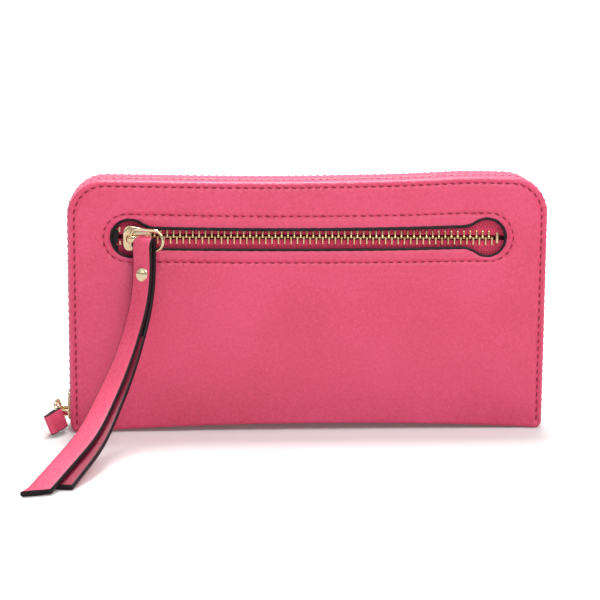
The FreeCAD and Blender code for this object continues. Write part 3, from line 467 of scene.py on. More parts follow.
def shell(verts, faces, height, inner):
    """Closed solid from a flat triangulation: a front given by height, a flat back, side walls."""
    count = len(verts)
    front = [height(v.x, v.y) for v in verts]
    back = [inner(v.x, v.y) for v in verts]
    solid = [tuple(p) for p in front + back]
    result = [tuple(face) for face in faces]
    result += [tuple(i + count for i in reversed(face)) for face in faces]
    seen = {}
    for face in faces:
        for a, b in zip(face, face[1:] + face[:1]):
            seen[(a, b)] = True
    rim = [(a, b) for a, b in seen if (b, a) not in seen]
    result += [(a, a + count, b + count, b) for a, b in rim]
    return solid, result, len(rim)


def seam_path(half_w, low, high, radius, inset, step=0.4):
    """Open path of a seam up the left side, over the top and down the right, as (x, z)."""
    w, t, r = half_w - inset, high - inset, radius - inset
    pts = [(-w, low)] + arc_points(-w + r, t - r, r, 180, 90) + arc_points(w - r, t - r, r, 90, 0)
    return resample(pts + [(w, low)], step, closed=False)


def turns(sides):
    """Equal angles once round a circle."""
    return [2 * math.pi * s / sides for s in range(sides)]


def loft(rings, closed=False):
    """Vertices and faces of a skin over equal rings of points, capped unless it closes on itself."""
    n, count = len(rings[0]), len(rings)
    verts = [tuple(p) for ring in rings for p in ring]
    faces = []
    for i in range(count if closed else count - 1):
        j = (i + 1) % count
        for s in range(n):
            t = (s + 1) % n
            faces.append((i * n + s, i * n + t, j * n + t, j * n + s))
    if not closed:
        faces.append(tuple(reversed(range(n))))
        faces.append(tuple(range((count - 1) * n, count * n)))
    return verts, faces


def stitches(bag, path, pitch, place, radius=0.40, fill_ratio=0.72, slant=0.12):
    """Row of short sewn capsules along a path; place maps (x, z) to a surface point and normal."""
    pts = [Vector(p) for p in path]
    lengths = [0.0]
    for a, b in zip(pts, pts[1:]):
        lengths.append(lengths[-1] + (b - a).length)
    count = int(lengths[-1] / pitch)
    k = 0
    for i in range(count):
        middle = lengths[-1] * (i + 0.5) / count
        while k < len(pts) - 2 and lengths[k + 1] < middle:
            k += 1
        share = (middle - lengths[k]) / (lengths[k + 1] - lengths[k])
        centre = pts[k].lerp(pts[k + 1], share)
        heading = (pts[k + 1] - pts[k]).normalized()
        spot, normal = place(centre.x, centre.y)
        along = Vector((heading.x, 0, heading.y))
        across = along.cross(normal).normalized()
        along = (along + across * slant).normalized()
        half = pitch * fill_ratio / 2
        skin = []
        for t, swell in STITCH_SHAPE:
            core = spot + along * (half * t) - normal * STITCH_DIP * t * t
            skin.append([core + (across * math.cos(a) + normal * math.sin(a) * 0.8) * radius * swell
                         for a in turns(8)])
        bag.add(*loft(skin))


def sweep(path, section, ups=None, closed=False):
    """Vertices and faces of a section carried along a 3D path. ups gives a fixed up vector each."""
    pts = [Vector(p) for p in path]
    count = len(pts)
    rings = []
    for i, p in enumerate(pts):
        ahead = pts[(i + 1) % count] if closed or i < count - 1 else p
        behind = pts[i - 1] if closed or i > 0 else p
        tangent = (ahead - behind).normalized()
        up = Vector(ups[i]) if ups else Vector((0, -1, 0))
        side = tangent.cross(up).normalized()
        up = side.cross(tangent).normalized()
        rings.append([p + side * a + up * b for a, b in section(i / max(1, count - 1))])
    return loft(rings, closed)


def oval(a_radius, b_radius, sides):
    """Section of a round or oval bar."""
    return [(a_radius * math.cos(a), b_radius * math.sin(a)) for a in turns(sides)]


# ------------------------------------------------------------------ outer leather
def nearest_phase(path, pitch):
    """Function giving, for a point, its distance to a stitched path and the stitch wave there."""
    pts = np.array([(p[0], p[1]) for p in path])
    run = np.concatenate([[0.0], np.cumsum(np.hypot(*np.diff(pts, axis=0).T))])
    count = int(run[-1] / pitch)
    pitch = run[-1] / count

    def look(x, z):
        d2 = (pts[:, 0] - x) ** 2 + (pts[:, 1] - z) ** 2
        k = int(np.argmin(d2))
        return math.sqrt(d2[k]), math.cos(math.pi * run[k] / pitch) ** 2
    return look


FRONT_SEAM = seam_path(HALF_W, 3.0, TOP, CORNER, SEAM_INSET)
SLOT_SEAM = resample(stadium(), 0.4)
SLOT_SEAM.append(SLOT_SEAM[0])


def seam_dip(distance, stitch, depth=0.78, width=0.85):
    """How far leather is drawn in by a line of stitches, deepest at the needle holes."""
    return wave(distance, depth * (0.5 + 0.5 * stitch), 0.0, width)


def panel_profile(depth, roll, thickness):
    """Rounded edge of a padded panel, from its rim inwards."""
    t = min(1.0, max(0.0, depth / roll))
    return thickness * math.sqrt(max(0.0, 1.0 - (1.0 - t) ** 2))


def panel(outward, face_y, inner_y, with_slot):
    """One outer leather panel: rolled rim, sewn edge, gentle crown, and the keyhole slot."""
    thickness, seam_reach = abs(face_y - inner_y) + 0.05, 4.0
    seam_look = nearest_phase(FRONT_SEAM, SEAM_PITCH)
    slot_look = nearest_phase(SLOT_SEAM, SEAM_PITCH)
    slot_rim = np.array(resample(slot_outline(), 0.5))

    def surface(x, z):
        depth = block_depth(x, z, HALF_W, LOW.z, TOP, CORNER, FOOT)
        h = panel_profile(depth, 1.5, thickness)
        crown = smoothstep((depth - 3.2) / 22.0)
        h += crown * (0.75 + 0.30 * noise.noise(Vector((x * 0.022, z * 0.03, 3.0 * outward))))
        d, stitch = seam_look(x, z)
        if d < seam_reach:
            h += wave(d, 0.30 * (1.0 - 0.55 * stitch), 1.5, 0.75) * smoothstep(depth / 0.9)
            h -= seam_dip(d, stitch)
        if with_slot and abs(z - SLOT_Z) < STADIUM_R + 6.0:
            d, stitch = slot_look(x, z)
            rim = math.sqrt(float(np.min((slot_rim[:, 0] - x) ** 2 + (slot_rim[:, 1] - z) ** 2)))
            inner = STADIUM_R - math.hypot(max(abs(x) - STADIUM_X, 0.0), z - SLOT_Z + SLOT_SLOPE * x)
            if inner > 0.0:
                h += 0.55 * math.sin(math.pi * rim / (rim + d + 0.01)) ** 0.8
            if d < seam_reach:
                h += wave(d, 0.26 * (1.0 - 0.5 * stitch), 1.6, 0.85)
                h -= seam_dip(d, stitch, 0.72)
            h -= wave(rim, 0.55, 0.0, 0.8)
        crease = noise.noise(Vector((x * 0.10, z * 0.16, 7.0)))
        low_right = smoothstep((x - 70.0) / 28.0) * smoothstep((26.0 - z) / 22.0)
        return max(h + 0.5 * low_right * crease, 0.0)

    def face(x, z):
        return inner_y + outward * surface(x, z)

    loops = []
    for inset in (0.0, 0.12, 0.45, 0.95, 1.45, 1.8, 2.1, 2.4, 2.8, 3.4, 4.2):
        foot = max(FOOT - inset, 0.25)
        outline = block_outline(HALF_W - inset, LOW.z + inset, TOP - inset, CORNER - inset, foot)
        loops.append(resample(outline, 0.62 if inset > 0.5 else 0.9))
    hole = None
    if with_slot:
        hole = [tuple(p) for p in resample(slot_outline(), 0.8)]
        loops.append(hole)
        loops.append(resample(slot_outline(0.45), 0.9))
        for inset in (-1.6, -1.0, -0.5, 0.0, 0.5, 1.0, 1.7):
            loops.append(resample(stadium(STADIUM_R + inset), 0.62))
    verts, faces = fill(loops, 1.9, (-HALF_W, HALF_W, LOW.z, TOP), hole)
    solid, result, rim = shell(verts, faces, lambda x, z: slouch(x, face(x, z), z),
                               lambda x, z: slouch(x, inner_y - outward * 0.02, z))
    marks = [0] * len(result)
    for k in range(len(result) - rim, len(result)):
        x, _, z = solid[result[k][0]]
        near_slot = abs(x) < STADIUM_X + STADIUM_R and abs(z - SLOT_Z) < STADIUM_R
        marks[k] = int(with_slot and near_slot)
    return solid, result, marks, face


def place_on(face, outward, proud, settle=slouch):
    """Maps an outline point to a surface whose y is face(x, z), and to its outward direction."""
    return lambda x, z: (Vector(settle(x, face(x, z) + outward * proud, z)), Vector((0, outward, 0)))


def outer_leather():
    solid, faces, marks, face = panel(-1, FACE_Y, FACE_Y + LEATHER, True)
    build("front_leather_shell", solid, faces, [PINK, BLACK], "front_cover", "leather", marks,
          node="front_leather", cut=50)
    bag = Bag()
    for seam in (FRONT_SEAM, SLOT_SEAM):
        stitches(bag, seam, SEAM_PITCH, place_on(face, -1, -0.02))
    bag.build("front_stitching", THREAD, "front_cover", "leather")
    rim = resample(slot_outline(0.12), 0.9)
    path = [slouch(p.x, min(face(p.x, p.y), FACE_Y + LEATHER - 0.3) + 0.05, p.y) for p in rim]

    def bead(t):
        spot = rim[round(t * (len(rim) - 1))]
        level = spot.y - SLOT_Z + SLOT_SLOPE * spot.x
        # The bead grows thicker towards the upper edge: the extra black there is painted shade under the
        # slot's top lip; the rest is the real edge paint.
        thick = 0.60 + 0.16 * smoothstep((level + 2.0) / 4.0)
        return oval(thick, 0.85 * thick, 12)
    build("slot_edge_paint", *sweep(path, bead, closed=True), [BLACK], "front_cover", "leather")

    solid, faces, marks, face = panel(1, BACK_Y, BACK_Y - LEATHER, False)
    build("back_leather_shell", solid, faces, [PINK], "back_cover", "leather", marks,
          node="back_leather", cut=50)
    bag = Bag()
    stitches(bag, FRONT_SEAM, SEAM_PITCH, place_on(face, 1, -0.02))
    bag.build("back_stitching", THREAD, "back_cover", "leather")


def spine():
    """Leather under the foot, rounded up into both covers."""
    front, back, r, under = FACE_Y + 0.5, BACK_Y - 0.5, 2.0, 0.1
    steps, columns = 20, 96
    profile = arc_points(front + r, under + r, r, 180, 270, 6)
    profile += [(front + r + (back - front - 2 * r) * i / steps, under) for i in range(1, steps)]
    profile += arc_points(back - r, under + r, r, 270, 360, 6)
    ring = profile + [(y * 0.93, z + 0.9) for y, z in reversed(profile)]
    rings = []
    for i in range(columns + 1):
        x = (HALF_W - SEAM_INSET) * (2.0 * i / columns - 1.0)
        ripples = [0.10 * noise.noise(Vector((x * 0.08, y * 0.2, 1.0))) for y, z in ring]
        rings.append([slouch(x, y, z + max(0.0, ripple)) for (y, z), ripple in zip(ring, ripples)])
    verts, faces = loft(rings)
    piece = build("spine_leather_wrap", verts, faces, [PINK], None, None, cut=60)
    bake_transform(piece)
    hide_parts("spine_leather")


# ------------------------------------------------------------------ zips
def band_points(inset, low, step=1.3, foot=0.0):
    """Path of the perimeter band as (x, z), from lower left over the top; foot rounds its ends."""
    w, t = HALF_W - inset, TOP - inset
    r = CORNER - inset
    start = arc_points(-w + foot, low + foot, foot, 240, 180, 5) if foot else [(-w, low)]
    end = arc_points(w - foot, low + foot, foot, 360, 300, 5) if foot else [(w, low)]
    pts = start + arc_points(-w + r, t - r, r, 180, 90, 16)
    return resample(pts + arc_points(w - r, t - r, r, 90, 0, 16) + end, step, closed=False)


def outward_at(pts, k):
    ahead, behind = pts[min(k + 1, len(pts) - 1)], pts[max(k - 1, 0)]
    heading = (ahead - behind).normalized()
    return Vector((-heading.y, heading.x))


def side_band(name, sign, node, body):
    """Zip tape that faces outwards round three sides, crowned over its core and sewn to its cover."""
    pts = band_points(BAND_INSET, 0.3, foot=3.0)
    near, far = abs(span(node)[0].y), abs(span(node)[1].y)
    edge, chain = max(near, far) + 0.7, min(near, far)
    steps = 12
    top_side, under = [], []
    for t in (s / steps for s in range(steps + 1)):
        y = chain + (edge - chain) * t
        puff = 0.95 * math.sin(math.pi * min(1.0, t * 1.05)) ** 0.7 if t < 1.0 else 0.0
        top_side.append((y, 0.15 + puff))
        under.append((y, -0.45 + puff * 0.6))
    ring = top_side + under[::-1]
    rings = []
    for k, p in enumerate(pts):
        out = outward_at(pts, k)
        ripples = [0.07 * noise.noise(Vector((k * 0.35, y * 0.5, 5.0 * sign))) for y, h in ring]
        rings.append([slouch(p.x + out.x * (h + ripple), sign * y, p.y + out.y * (h + ripple))
                      for (y, h), ripple in zip(ring, ripples)])
    verts, faces = loft(rings)
    build(name, verts, faces, [TAPE_SIDE], body, "zip_tape", node=node, cut=70)
    bag = Bag()
    seam_y = edge - 3.2
    fine = band_points(BAND_INSET, 4.0, 0.5)

    def place(x, z):
        k = min(range(len(fine)), key=lambda i: (fine[i].x - x) ** 2 + (fine[i].y - z) ** 2)
        out = outward_at(fine, k)
        spot = slouch(x + out.x * 1.02, sign * seam_y, z + out.y * 1.02)
        return Vector(spot), Vector((out.x, 0, out.y))
    stitches(bag, [(p.x, p.y) for p in fine], FINE_PITCH, place, 0.22, 0.7)
    bag.build(name + "_stitching", THREAD, body, "zip_tape")


def tooth_shape():
    """One cast tooth, chain centre at the origin: across (u), through the tape (v), along (w)."""
    stations = ((-0.45, 0.38, 0.80), (-0.2, 0.56, 1.10), (0.25, 0.58, 1.18), (0.6, 0.42, 1.10),
                (0.95, 0.33, 0.85), (1.5, 0.36, 0.85), (2.6, 0.40, 0.85), (2.9, 0.30, 0.70))
    ring = ((-1.0, -0.72), (-0.62, -1.0), (0.62, -1.0), (1.0, -0.72), (1.0, 0.72), (0.62, 1.0),
            (-0.62, 1.0), (-1.0, 0.72))
    return loft([[(u, high * v, half * w) for w, v in ring] for u, half, high in stations])


TOOTH = tooth_shape()


def teeth_row(node, body, places):
    """Row of teeth standing for a node. Each place maps a tooth's own (u, v, w) to a point."""
    verts, faces = TOOTH
    bag = Bag()
    for place in places:
        bag.add([tuple(place(u, v, w)) for u, v, w in verts], faces)
    bag.build(node + "_row", GOLD_TEETH, body, "gold_metal", node=node, cut=40)


def pocket_chain():
    """Teeth, tapes and stops seen through the slot."""
    tape_width = 10.6
    for node, side in (("pocket_teeth_upper", 1), ("pocket_teeth_lower", -1)):
        low, high = span(node)

        def place(i):
            x = low.x + 0.52 + ZIP_PITCH * i
            tilt = 0.03 * noise.noise(Vector((i * 3.7, side, 0)))
            level = SLOT_Z - SLOT_SLOPE * x
            return lambda u, v, w: (x + w + tilt * u, CHAIN_Y + v, level + side * u)
        count = int(round((high.x - low.x - 1.05) / ZIP_PITCH)) + 1
        teeth_row(node, "front_cover", [place(i) for i in range(count)])
    for node, side in (("pocket_zip_tape_upper", 1), ("pocket_zip_tape_lower", -1)):
        low, high = span(node)

        def weave(s, t):
            x = low.x + (high.x - low.x) * s
            across = tape_width * t
            z = SLOT_Z - SLOT_SLOPE * x + side * (1.0 + across)
            cord = wave(across, 0.35, 2.1, 0.55)
            sway = 0.14 * t * noise.noise(Vector((x * 0.12, z * 0.3, 2.0)))
            return x, low.y + 0.6 - cord + sway, z
        slab(node + "_cloth", node, "front_cover", TAPE, "zip_tape", weave, 110, 14, (0, 0.5, 0))
    stops = Bag()
    low, high = span("pocket_zip_stops")
    for x, z, wide, tall in ((low.x + 1.9, 2.9, 0.9, 2.0), (low.x + 2.2, -2.5, 0.9, 1.8),
                             (high.x - 1.0, 0.0, 1.1, 4.6)):
        add_block(stops, (x, CHAIN_Y, SLOT_Z - SLOT_SLOPE * x + z), (wide / 2, 1.0, tall / 2))
    stops.build("pocket_zip_end_stops", GOLD_TEETH, "front_cover", "gold_metal",
                node="pocket_zip_stops", cut=40)

    # Black sheet over the tape's end inside the slot's left end: painted shade for the dark hollow
    # there.
    def painted_shade_sheet(s, t):
        x, z = -82.5 + 4.3 * s, SLOT_Z + 1.0 + 8.6 * (2.0 * t - 1.0)
        y = CHAIN_Y + 0.15 - 0.25 * math.sin(math.pi * s) + 0.1 * noise.noise(Vector((x, z, 1.0)))
        return x, y, z
    slab("pocket_zip_end_binding", None, "front_cover", BLACK, "zip_tape", painted_shade_sheet, 10, 20, (0, 0.3, 0))


def slab(name, node, body, material, slot, point, columns, rows, depth):
    """Thin strip: point(s, t) gives one side, depth leads to the other."""
    front = [Vector(point(i / columns, j / rows)) for j in range(rows + 1) for i in range(columns + 1)]
    verts = [tuple(p) for p in front] + [tuple(p + Vector(depth)) for p in front]
    step, count = columns + 1, len(front)
    quads = [(j * step + i, j * step + i + 1, (j + 1) * step + i + 1, (j + 1) * step + i)
             for j in range(rows) for i in range(columns)]
    walls = [(i, i + 1) for i in range(columns)]
    walls += [(rows * step + i, rows * step + i + 1) for i in range(columns)]
    walls += [(j * step, (j + 1) * step) for j in range(rows)]
    walls += [(j * step + columns, (j + 1) * step + columns) for j in range(rows)]
    quads += [tuple(k + count for k in q) for q in quads]
    quads += [(a, b, b + count, a + count) for a, b in walls]
    return build(name, verts, quads, [material], body, slot, node=node, cut=60)


def add_block(bag, centre, half, bevel=0.28):
    """Small cast block with rounded edges."""
    work = bmesh.new()
    bmesh.ops.create_cube(work, size=2.0)
    for v in work.verts:
        v.co = Vector((v.co.x * half[0], v.co.y * half[1], v.co.z * half[2])) + Vector(centre)
    bmesh.ops.bevel(work, geom=list(work.edges), offset=bevel, segments=3, profile=0.5,
                    affect="EDGES")
    work.verts.index_update()
    bag.add([tuple(v.co) for v in work.verts], [tuple(v.index for v in f.verts) for f in work.faces])
    work.free()


def perimeter_chain():
    """Both rows of the zip that closes the wallet, following the settled band."""
    pts = band_points(CHAIN_INSET, CHAIN_START, 0.3)
    for node, sign, body in (("main_teeth_front", -1, "front_cover"),
                             ("main_teeth_back", 1, "back_cover")):
        def place(k):
            out = outward_at(pts, k)
            along, out3 = Vector((out.y, 0, -out.x)), Vector((out.x, 0, out.y))
            base = Vector(slouch(pts[k].x, 0, pts[k].y))
            return lambda u, v, w: base + out3 * v + Vector((0, sign * u, 0)) + along * w
        places, run = [], 0.0
        wanted = 0.8 + (ZIP_PITCH / 2 if sign > 0 else 0.0)
        for k in range(1, len(pts)):
            run += (pts[k] - pts[k - 1]).length
            if run >= wanted:
                wanted += ZIP_PITCH
                places.append(place(k))
        teeth_row(node, body, places)
    for node, sign, body in (("main_zip_stops_front", -1, "front_cover"),
                             ("main_zip_stops_back", 1, "back_cover")):
        low, high = span(node)
        bag = Bag()
        for x in (low.x + 0.1, high.x - 0.1):
            add_block(bag, (x, (low.y + high.y) / 2, (low.z + high.z) / 2), (0.9, 0.9, 0.95))
        bag.build(node + "_blocks", GOLD_TEETH, body, "gold_metal", node=node, cut=40)


# ------------------------------------------------------------------ sliders, rings, rivet
def slider_mesh(bag, frame_of, lift=0.0, waist=SLIDER_WAIST):
    """Zip slider: domed crown, base plate and side flanges. frame_of(along, across, out)
    gives a point; lift raises the crown, waist is the half width of what lies below it."""
    nose, tail, length = 10.4, 7.2, 11.8
    narrow = waist / SLIDER_WAIST

    def taper(t):
        return t ** 1.3

    def outline(shrink, wide=1.0):
        half_n, half_t = nose / 2 * wide - shrink, tail / 2 * wide - shrink
        quarter = [math.pi / 20 * i for i in range(11)]
        pts = [(shrink + 0.2 + (1 - math.cos(a)) * 2.4, half_n * (0.35 + 0.65 * math.sin(a)))
               for a in quarter]
        pts += [(2.8 + (length - shrink - 3.4) * t, half_n + (half_t - half_n) * taper(t))
                for t in (i / 6 for i in range(1, 7))]
        pts.append((length - shrink, half_t * 0.8))
        return pts + [(a, -b) for a, b in reversed(pts)]

    def plate(levels, wide=1.0):
        bag.add(*loft([[frame_of(a, b, height) for a, b in outline(shrink, wide)]
                       for shrink, height in levels]))

    crown = ((0.5, 1.45), (0.1, 1.5), (0.0, 1.75), (0.0, 2.15), (0.12, 2.42), (0.4, 2.58), (0.9, 2.66))
    plate([(shrink, height + lift) for shrink, height in crown])
    plate([(0.3, -1.4), (0.0, -1.55), (0.0, -2.0), (0.3, -2.2)], narrow)
    tall, thick = 0.6 + lift / 2, 0.3
    wall = [(-thick, -tall), (thick, -tall), (thick, tall), (-thick, tall)]
    for side in (-1, 1):
        path = [frame_of(3.0 + 8.0 * t, side * (waist - (nose - tail) / 2 * narrow * taper(t)),
                         1.1 + lift / 2) for t in (i / 6 for i in range(7))]
        ups = [Vector(frame_of(0, 0, 1)) - Vector(frame_of(0, 0, 0))] * 7
        bag.add(*sweep(path, lambda t: wall, ups))


def bail_mesh(bag, frame_of, start, rise, base, width):
    """Arch on the crown: a flattened bar bent into a bridge."""
    length, corner, half_bar, root = 9.4, 1.7, 0.55, 0.3
    near, far, top = start + half_bar, start + length - half_bar, base + rise - half_bar
    pts = [(near, base - root)] + arc_points(near + corner, top - corner, corner, 180, 90, 6)
    pts += arc_points(far - corner, top - corner, corner, 90, 0, 6) + [(far, base - root)]
    path = [frame_of(a, 0, h) for a, h in pts]
    side = Vector(frame_of(0, 1, 0)) - Vector(frame_of(0, 0, 0))

    def squared(value):
        return math.copysign(abs(value) ** 0.6, value)
    section = [(half_bar * squared(a), width / 2 * squared(b)) for a, b in oval(1.0, 1.0, 16)]
    bag.add(*sweep(path, lambda t: section, [side] * len(path)))


def wire_loop(name, node, body, axis_point, along, breadth_dir, length, breadth, corner):
    """Ring of round wire: first side through the bail at axis_point, reaching out along 'along'."""
    half = breadth / 2 - WIRE_R
    reach = length - 2 * WIRE_R
    pts = arc_points(corner, -half + corner, corner, 180, 270, 7)
    far = min(corner * 1.7, half - 0.2)
    pts += arc_points(reach - far, -half + far, far, 270, 360, 9)
    pts += arc_points(reach - far, half - far, far, 0, 90, 9)
    pts += arc_points(corner, half - corner, corner, 90, 180, 7)
    pts = resample(pts, 0.6)
    path = [tuple(axis_point + along * p.x + breadth_dir * p.y) for p in pts]
    up = along.cross(breadth_dir)
    verts, faces = sweep(path, lambda t: oval(WIRE_R, WIRE_R, 14), [up] * len(path), closed=True)
    build(name, verts, faces, [GOLD], body, "gold_metal", node=node)


def zip_slider(kind, frame_of, bail_frame, start, rise, base=CROWN, width=2.6, **plate):
    """Slider of the main, pocket or coin zip with its bail."""
    bag = Bag()
    slider_mesh(bag, frame_of, **plate)
    bail_mesh(bag, bail_frame, start, rise, base, width)
    body = kind + "_slider"
    bag.build(kind + "_zip_slider", GOLD, body, "gold_metal", node=body, cut=45)


def hardware():
    low, _ = span("pocket_slider")
    raised = 1.1

    def pocket_frame(along, across, out):
        return (low.x + along, CHAIN_Y - out, SLOT_Z + 0.2 + across)
    zip_slider("pocket", pocket_frame, pocket_frame, 1.4, CHAIN_Y - low.y - CROWN - raised,
               CROWN + raised, lift=raised, waist=3.25)

    low_m, _ = span("main_slider")
    chain_x = -HALF_W + CHAIN_INSET
    hook_m = Vector(joint("main_ring_swing")["pos_m"]) / MM

    def main_frame(along, across, out):
        return (chain_x - out, across, low_m.z + along)

    def cross_frame(along, across, out):
        return (chain_x - out, along, hook_m.z + across)
    zip_slider("main", main_frame, cross_frame, -4.75, chain_x - low_m.x - CROWN)

    hook = Vector(joint("pocket_ring_swing")["pos_m"]) / MM
    wire_loop("pocket_slider_ring", "pocket_pull_ring", "pocket_ring", hook,
              -Vector(joint("strap_lift")["axis"]), Vector((0, 0, 1)), 15.5, 9.6, 2.4)
    side = -Vector(joint("main_ring_swing")["axis"])
    far_m = Vector(joint("main_tab_swing")["pos_m"]) / MM
    reach = far_m - hook_m
    wire_loop("main_slider_ring", "main_pull_ring", "main_ring", hook_m, reach.normalized(), side,
              reach.length + 1.4, 12.2, 1.7)


# ------------------------------------------------------------------ strap and tab
def strap():
    """One strip folded over the ring: painted edges, two leaves curving down to the table."""
    lift = joint("strap_lift")
    hang = Vector(lift["pos_m"]) / MM
    axis = -Vector(lift["axis"])
    ahead = Vector((axis.y, -axis.x, 0))
    width, leaf = 9.4, 2.15
    fold = WIRE_HOLE_R + leaf / 2
    bend = (0.0, 32.0, 73.0)
    raise_fold, cut_length, dark_to = 2.8, 3.0, -34.0
    turned = math.radians(bend[2])

    def leaf_path(sign, upper, lower, tail):
        """Points (forward, up) from the fold downwards; sign +1 is the front leaf."""
        pts = [(sign * fold, -4.6 * i / 3) for i in range(1, 4)]
        x, z = pts[-1]
        for radius, first, last in ((upper, *bend[:2]), (lower, *bend[1:])):
            turn = math.radians(first)
            pts += arc_points(x + radius * math.cos(turn), z + radius * math.sin(turn), radius,
                              180 + first, 180 + last, 12)[1:]
            x, z = pts[-1]
        pts += [(x + math.sin(turned) * tail * i / 6, z - math.cos(turned) * tail * i / 6)
                for i in range(1, 7)]
        return [(x - sign * 0.25 * smoothstep(-z / 5.0) * (1.0 - smoothstep((-z - 18.0) / 32.0)), z)
                for x, z in pts]

    front = leaf_path(1, 40.0, 92.0, 36.5)
    rear = leaf_path(-1, 44.0, 96.0, 27.5)
    foot = leaf / 2 * math.sin(turned) + 0.15 - hang.z
    for leaf_pts in (front, rear):
        depth = leaf_pts[-1][1]
        excess = foot - depth
        leaf_pts[:] = [(x, z + excess * min(1.0, z / depth)) for x, z in leaf_pts]
    crest = arc_points(0, raise_fold, fold, 180, 0, 12)
    fine = resample([(u, 0, z) for u, z in reversed(rear)] + [(u, 0, z) for u, z in crest + front],
                    1.4, closed=False)
    total = sum((b - a).length for a, b in zip(fine, fine[1:]))
    bulge, edge, half = 0.16, leaf / 2, width / 2
    section = [(-half + 0.55, edge), (-half * 0.5, edge + bulge * 0.7), (0, edge + bulge),
               (half * 0.5, edge + bulge * 0.7), (half - 0.55, edge), (half - 0.12, edge * 0.72),
               (half, 0.0), (half - 0.12, -edge * 0.72), (half - 0.55, -edge), (0, -edge),
               (-half + 0.55, -edge), (-half + 0.12, -edge * 0.72), (-half, 0.0),
               (-half + 0.12, edge * 0.72)]
    painted, inner = {4, 5, 6, 7, 10, 11, 12, 13}, {8, 9}
    rings, count = [], len(fine)
    run = 0.0
    for i, p in enumerate(fine):
        before, after = fine[max(i - 1, 0)], fine[min(i + 1, count - 1)]
        if i:
            run += (p - fine[i - 1]).length
        tangent = (after - before).normalized()
        normal = Vector((-tangent.z, 0, tangent.x))
        reach = max(0.0, p.x) / 95.0
        twist = math.radians(9.0 + 9.0 * math.exp(-((reach - 0.14) / 0.16) ** 2)
                             - 12.0 * smoothstep(reach * 1.3 - 0.25))
        in_front = run > total / 2
        cut_share = max(0.0, 1.0 - min(run, total - run) / cut_length)
        spread = (2.2 if in_front else -2.4) * reach - 2.6 * smoothstep((reach - 0.3) / 0.4)
        ring = []
        for a, b in section:
            slant = cut_share * ((1.5 - 7.0 * a / width) if in_front else 2.0 * a / width - 1.0)
            u = p.x + normal.x * b + tangent.x * slant + a * math.sin(twist)
            z = p.z + normal.z * b + tangent.z * slant
            spot = hang + axis * (a * math.cos(twist) - spread - 0.5) + ahead * u + Vector((0, 0, z))
            spot.z = max(spot.z, 0.12 + edge + bulge + (b if in_front else -b))
            ring.append(spot)
        rings.append(ring)
    verts, faces = loft(rings)
    # Inner faces, where the leaves face each other, are painted shade: black from the fold down to
    # dark_to, darker crimson below it.
    marks = [1 if s in painted or (s in inner and p.z > dark_to) else 2 * (s in inner)
             for p in fine[:-1] for s in range(len(section))] + [1, 1]
    build("folded_pull_strap", verts, faces, [STRAP_PINK, BLACK, STRAP_SHADE], "pull_strap",
          "strap_leather", marks, node="pull_strap", cut=60)
    rivet(hang, axis, ahead, fold + edge + bulge - 0.22)


def rivet(hang, axis, ahead, seat):
    """Domed cap on the front leaf and a flat washer on the rear one, turned on one post."""
    up = Vector((0, 0, 1))
    low, high = span("rivet_cap")
    centre = hang + Vector((0, 0, (low.z + high.z) / 2 - hang.z))

    def lathe(bag, profile):
        bag.add(*loft([[centre + ahead * out + axis * radius * math.cos(a) + up * radius * math.sin(a)
                        for a in turns(28)] for radius, out in profile]))

    cap = Bag()
    dome = [(0.95, -seat + 0.3), (0.95, seat - 0.3), (3.0, seat - 0.1), (3.1, seat + 0.12)]
    dome += [(3.1 * math.cos(math.radians(a)), seat + 0.12 + 1.4 * math.sin(math.radians(a)))
             for a in range(12, 85, 8)]
    lathe(cap, dome + [(0.08, seat + 1.52)])
    cap.build("rivet_domed_cap", GOLD, "pull_strap", "gold_metal", node="rivet_cap", cut=60)
    back = Bag()
    lathe(back, [(0.1, -seat - 0.75), (2.0, -seat - 0.72), (2.5, -seat - 0.5), (2.7, -seat - 0.15),
                 (2.6, -seat + 0.15)])
    back.build("rivet_back_washer", GOLD, "pull_strap", "gold_metal", node="rivet_washer", cut=50)


def tab():
    """Short strip folded over the long side of the perimeter zip's ring."""
    swing = joint("main_tab_swing")
    hook = Vector(swing["pos_m"]) / MM
    upward = Vector(swing["axis"])
    reach = hook - Vector(joint("main_ring_swing")["pos_m"]) / MM
    ahead = Matrix.Rotation(math.radians(-15), 3, upward) @ reach.normalized()
    lean = Matrix.Rotation(math.radians(8), 3, upward.cross(ahead).cross(upward))
    upward = lean @ upward
    side = upward.cross(ahead)
    leaf, width, length = 1.3, 8.4, 9.0
    fold = WIRE_HOLE_R + leaf / 2
    tip = leaf / 2 + 0.35
    run = [i / 9 for i in range(1, 9)]
    pts = arc_points(0, 0, fold, 270, 90, 12)
    pts += [((length - tip) * t, fold + (tip - fold) * smoothstep(t)) for t in run]
    pts += arc_points(length - tip, 0, tip, 90, -90, 9)
    pts += [((length - tip) * (1 - t), -(tip + (fold - tip) * smoothstep(t))) for t in run]
    hook -= upward * 1.1
    path = [tuple(hook + ahead * a + side * b) for a, b in pts]
    half, edge = width / 2, leaf / 2
    section = [(edge, -half + 0.4), (edge + 0.08, 0), (edge, half - 0.4), (edge * 0.6, half),
               (-edge * 0.6, half), (-edge, half - 0.4), (-edge, -half + 0.4), (-edge * 0.6, -half),
               (edge * 0.6, -half)]
    verts, faces = sweep(path, lambda t: section, [upward] * len(path), closed=True)
    n = len(section)
    marks = [1 if (k % n) in (2, 3, 4, 6, 7, 8) else 0 for k in range(len(faces))]
    build("main_zip_leather_tab", verts, faces, [STRAP_PINK, BLACK], "main_tab", "strap_leather",
          marks, node="main_pull_tab", cut=60)


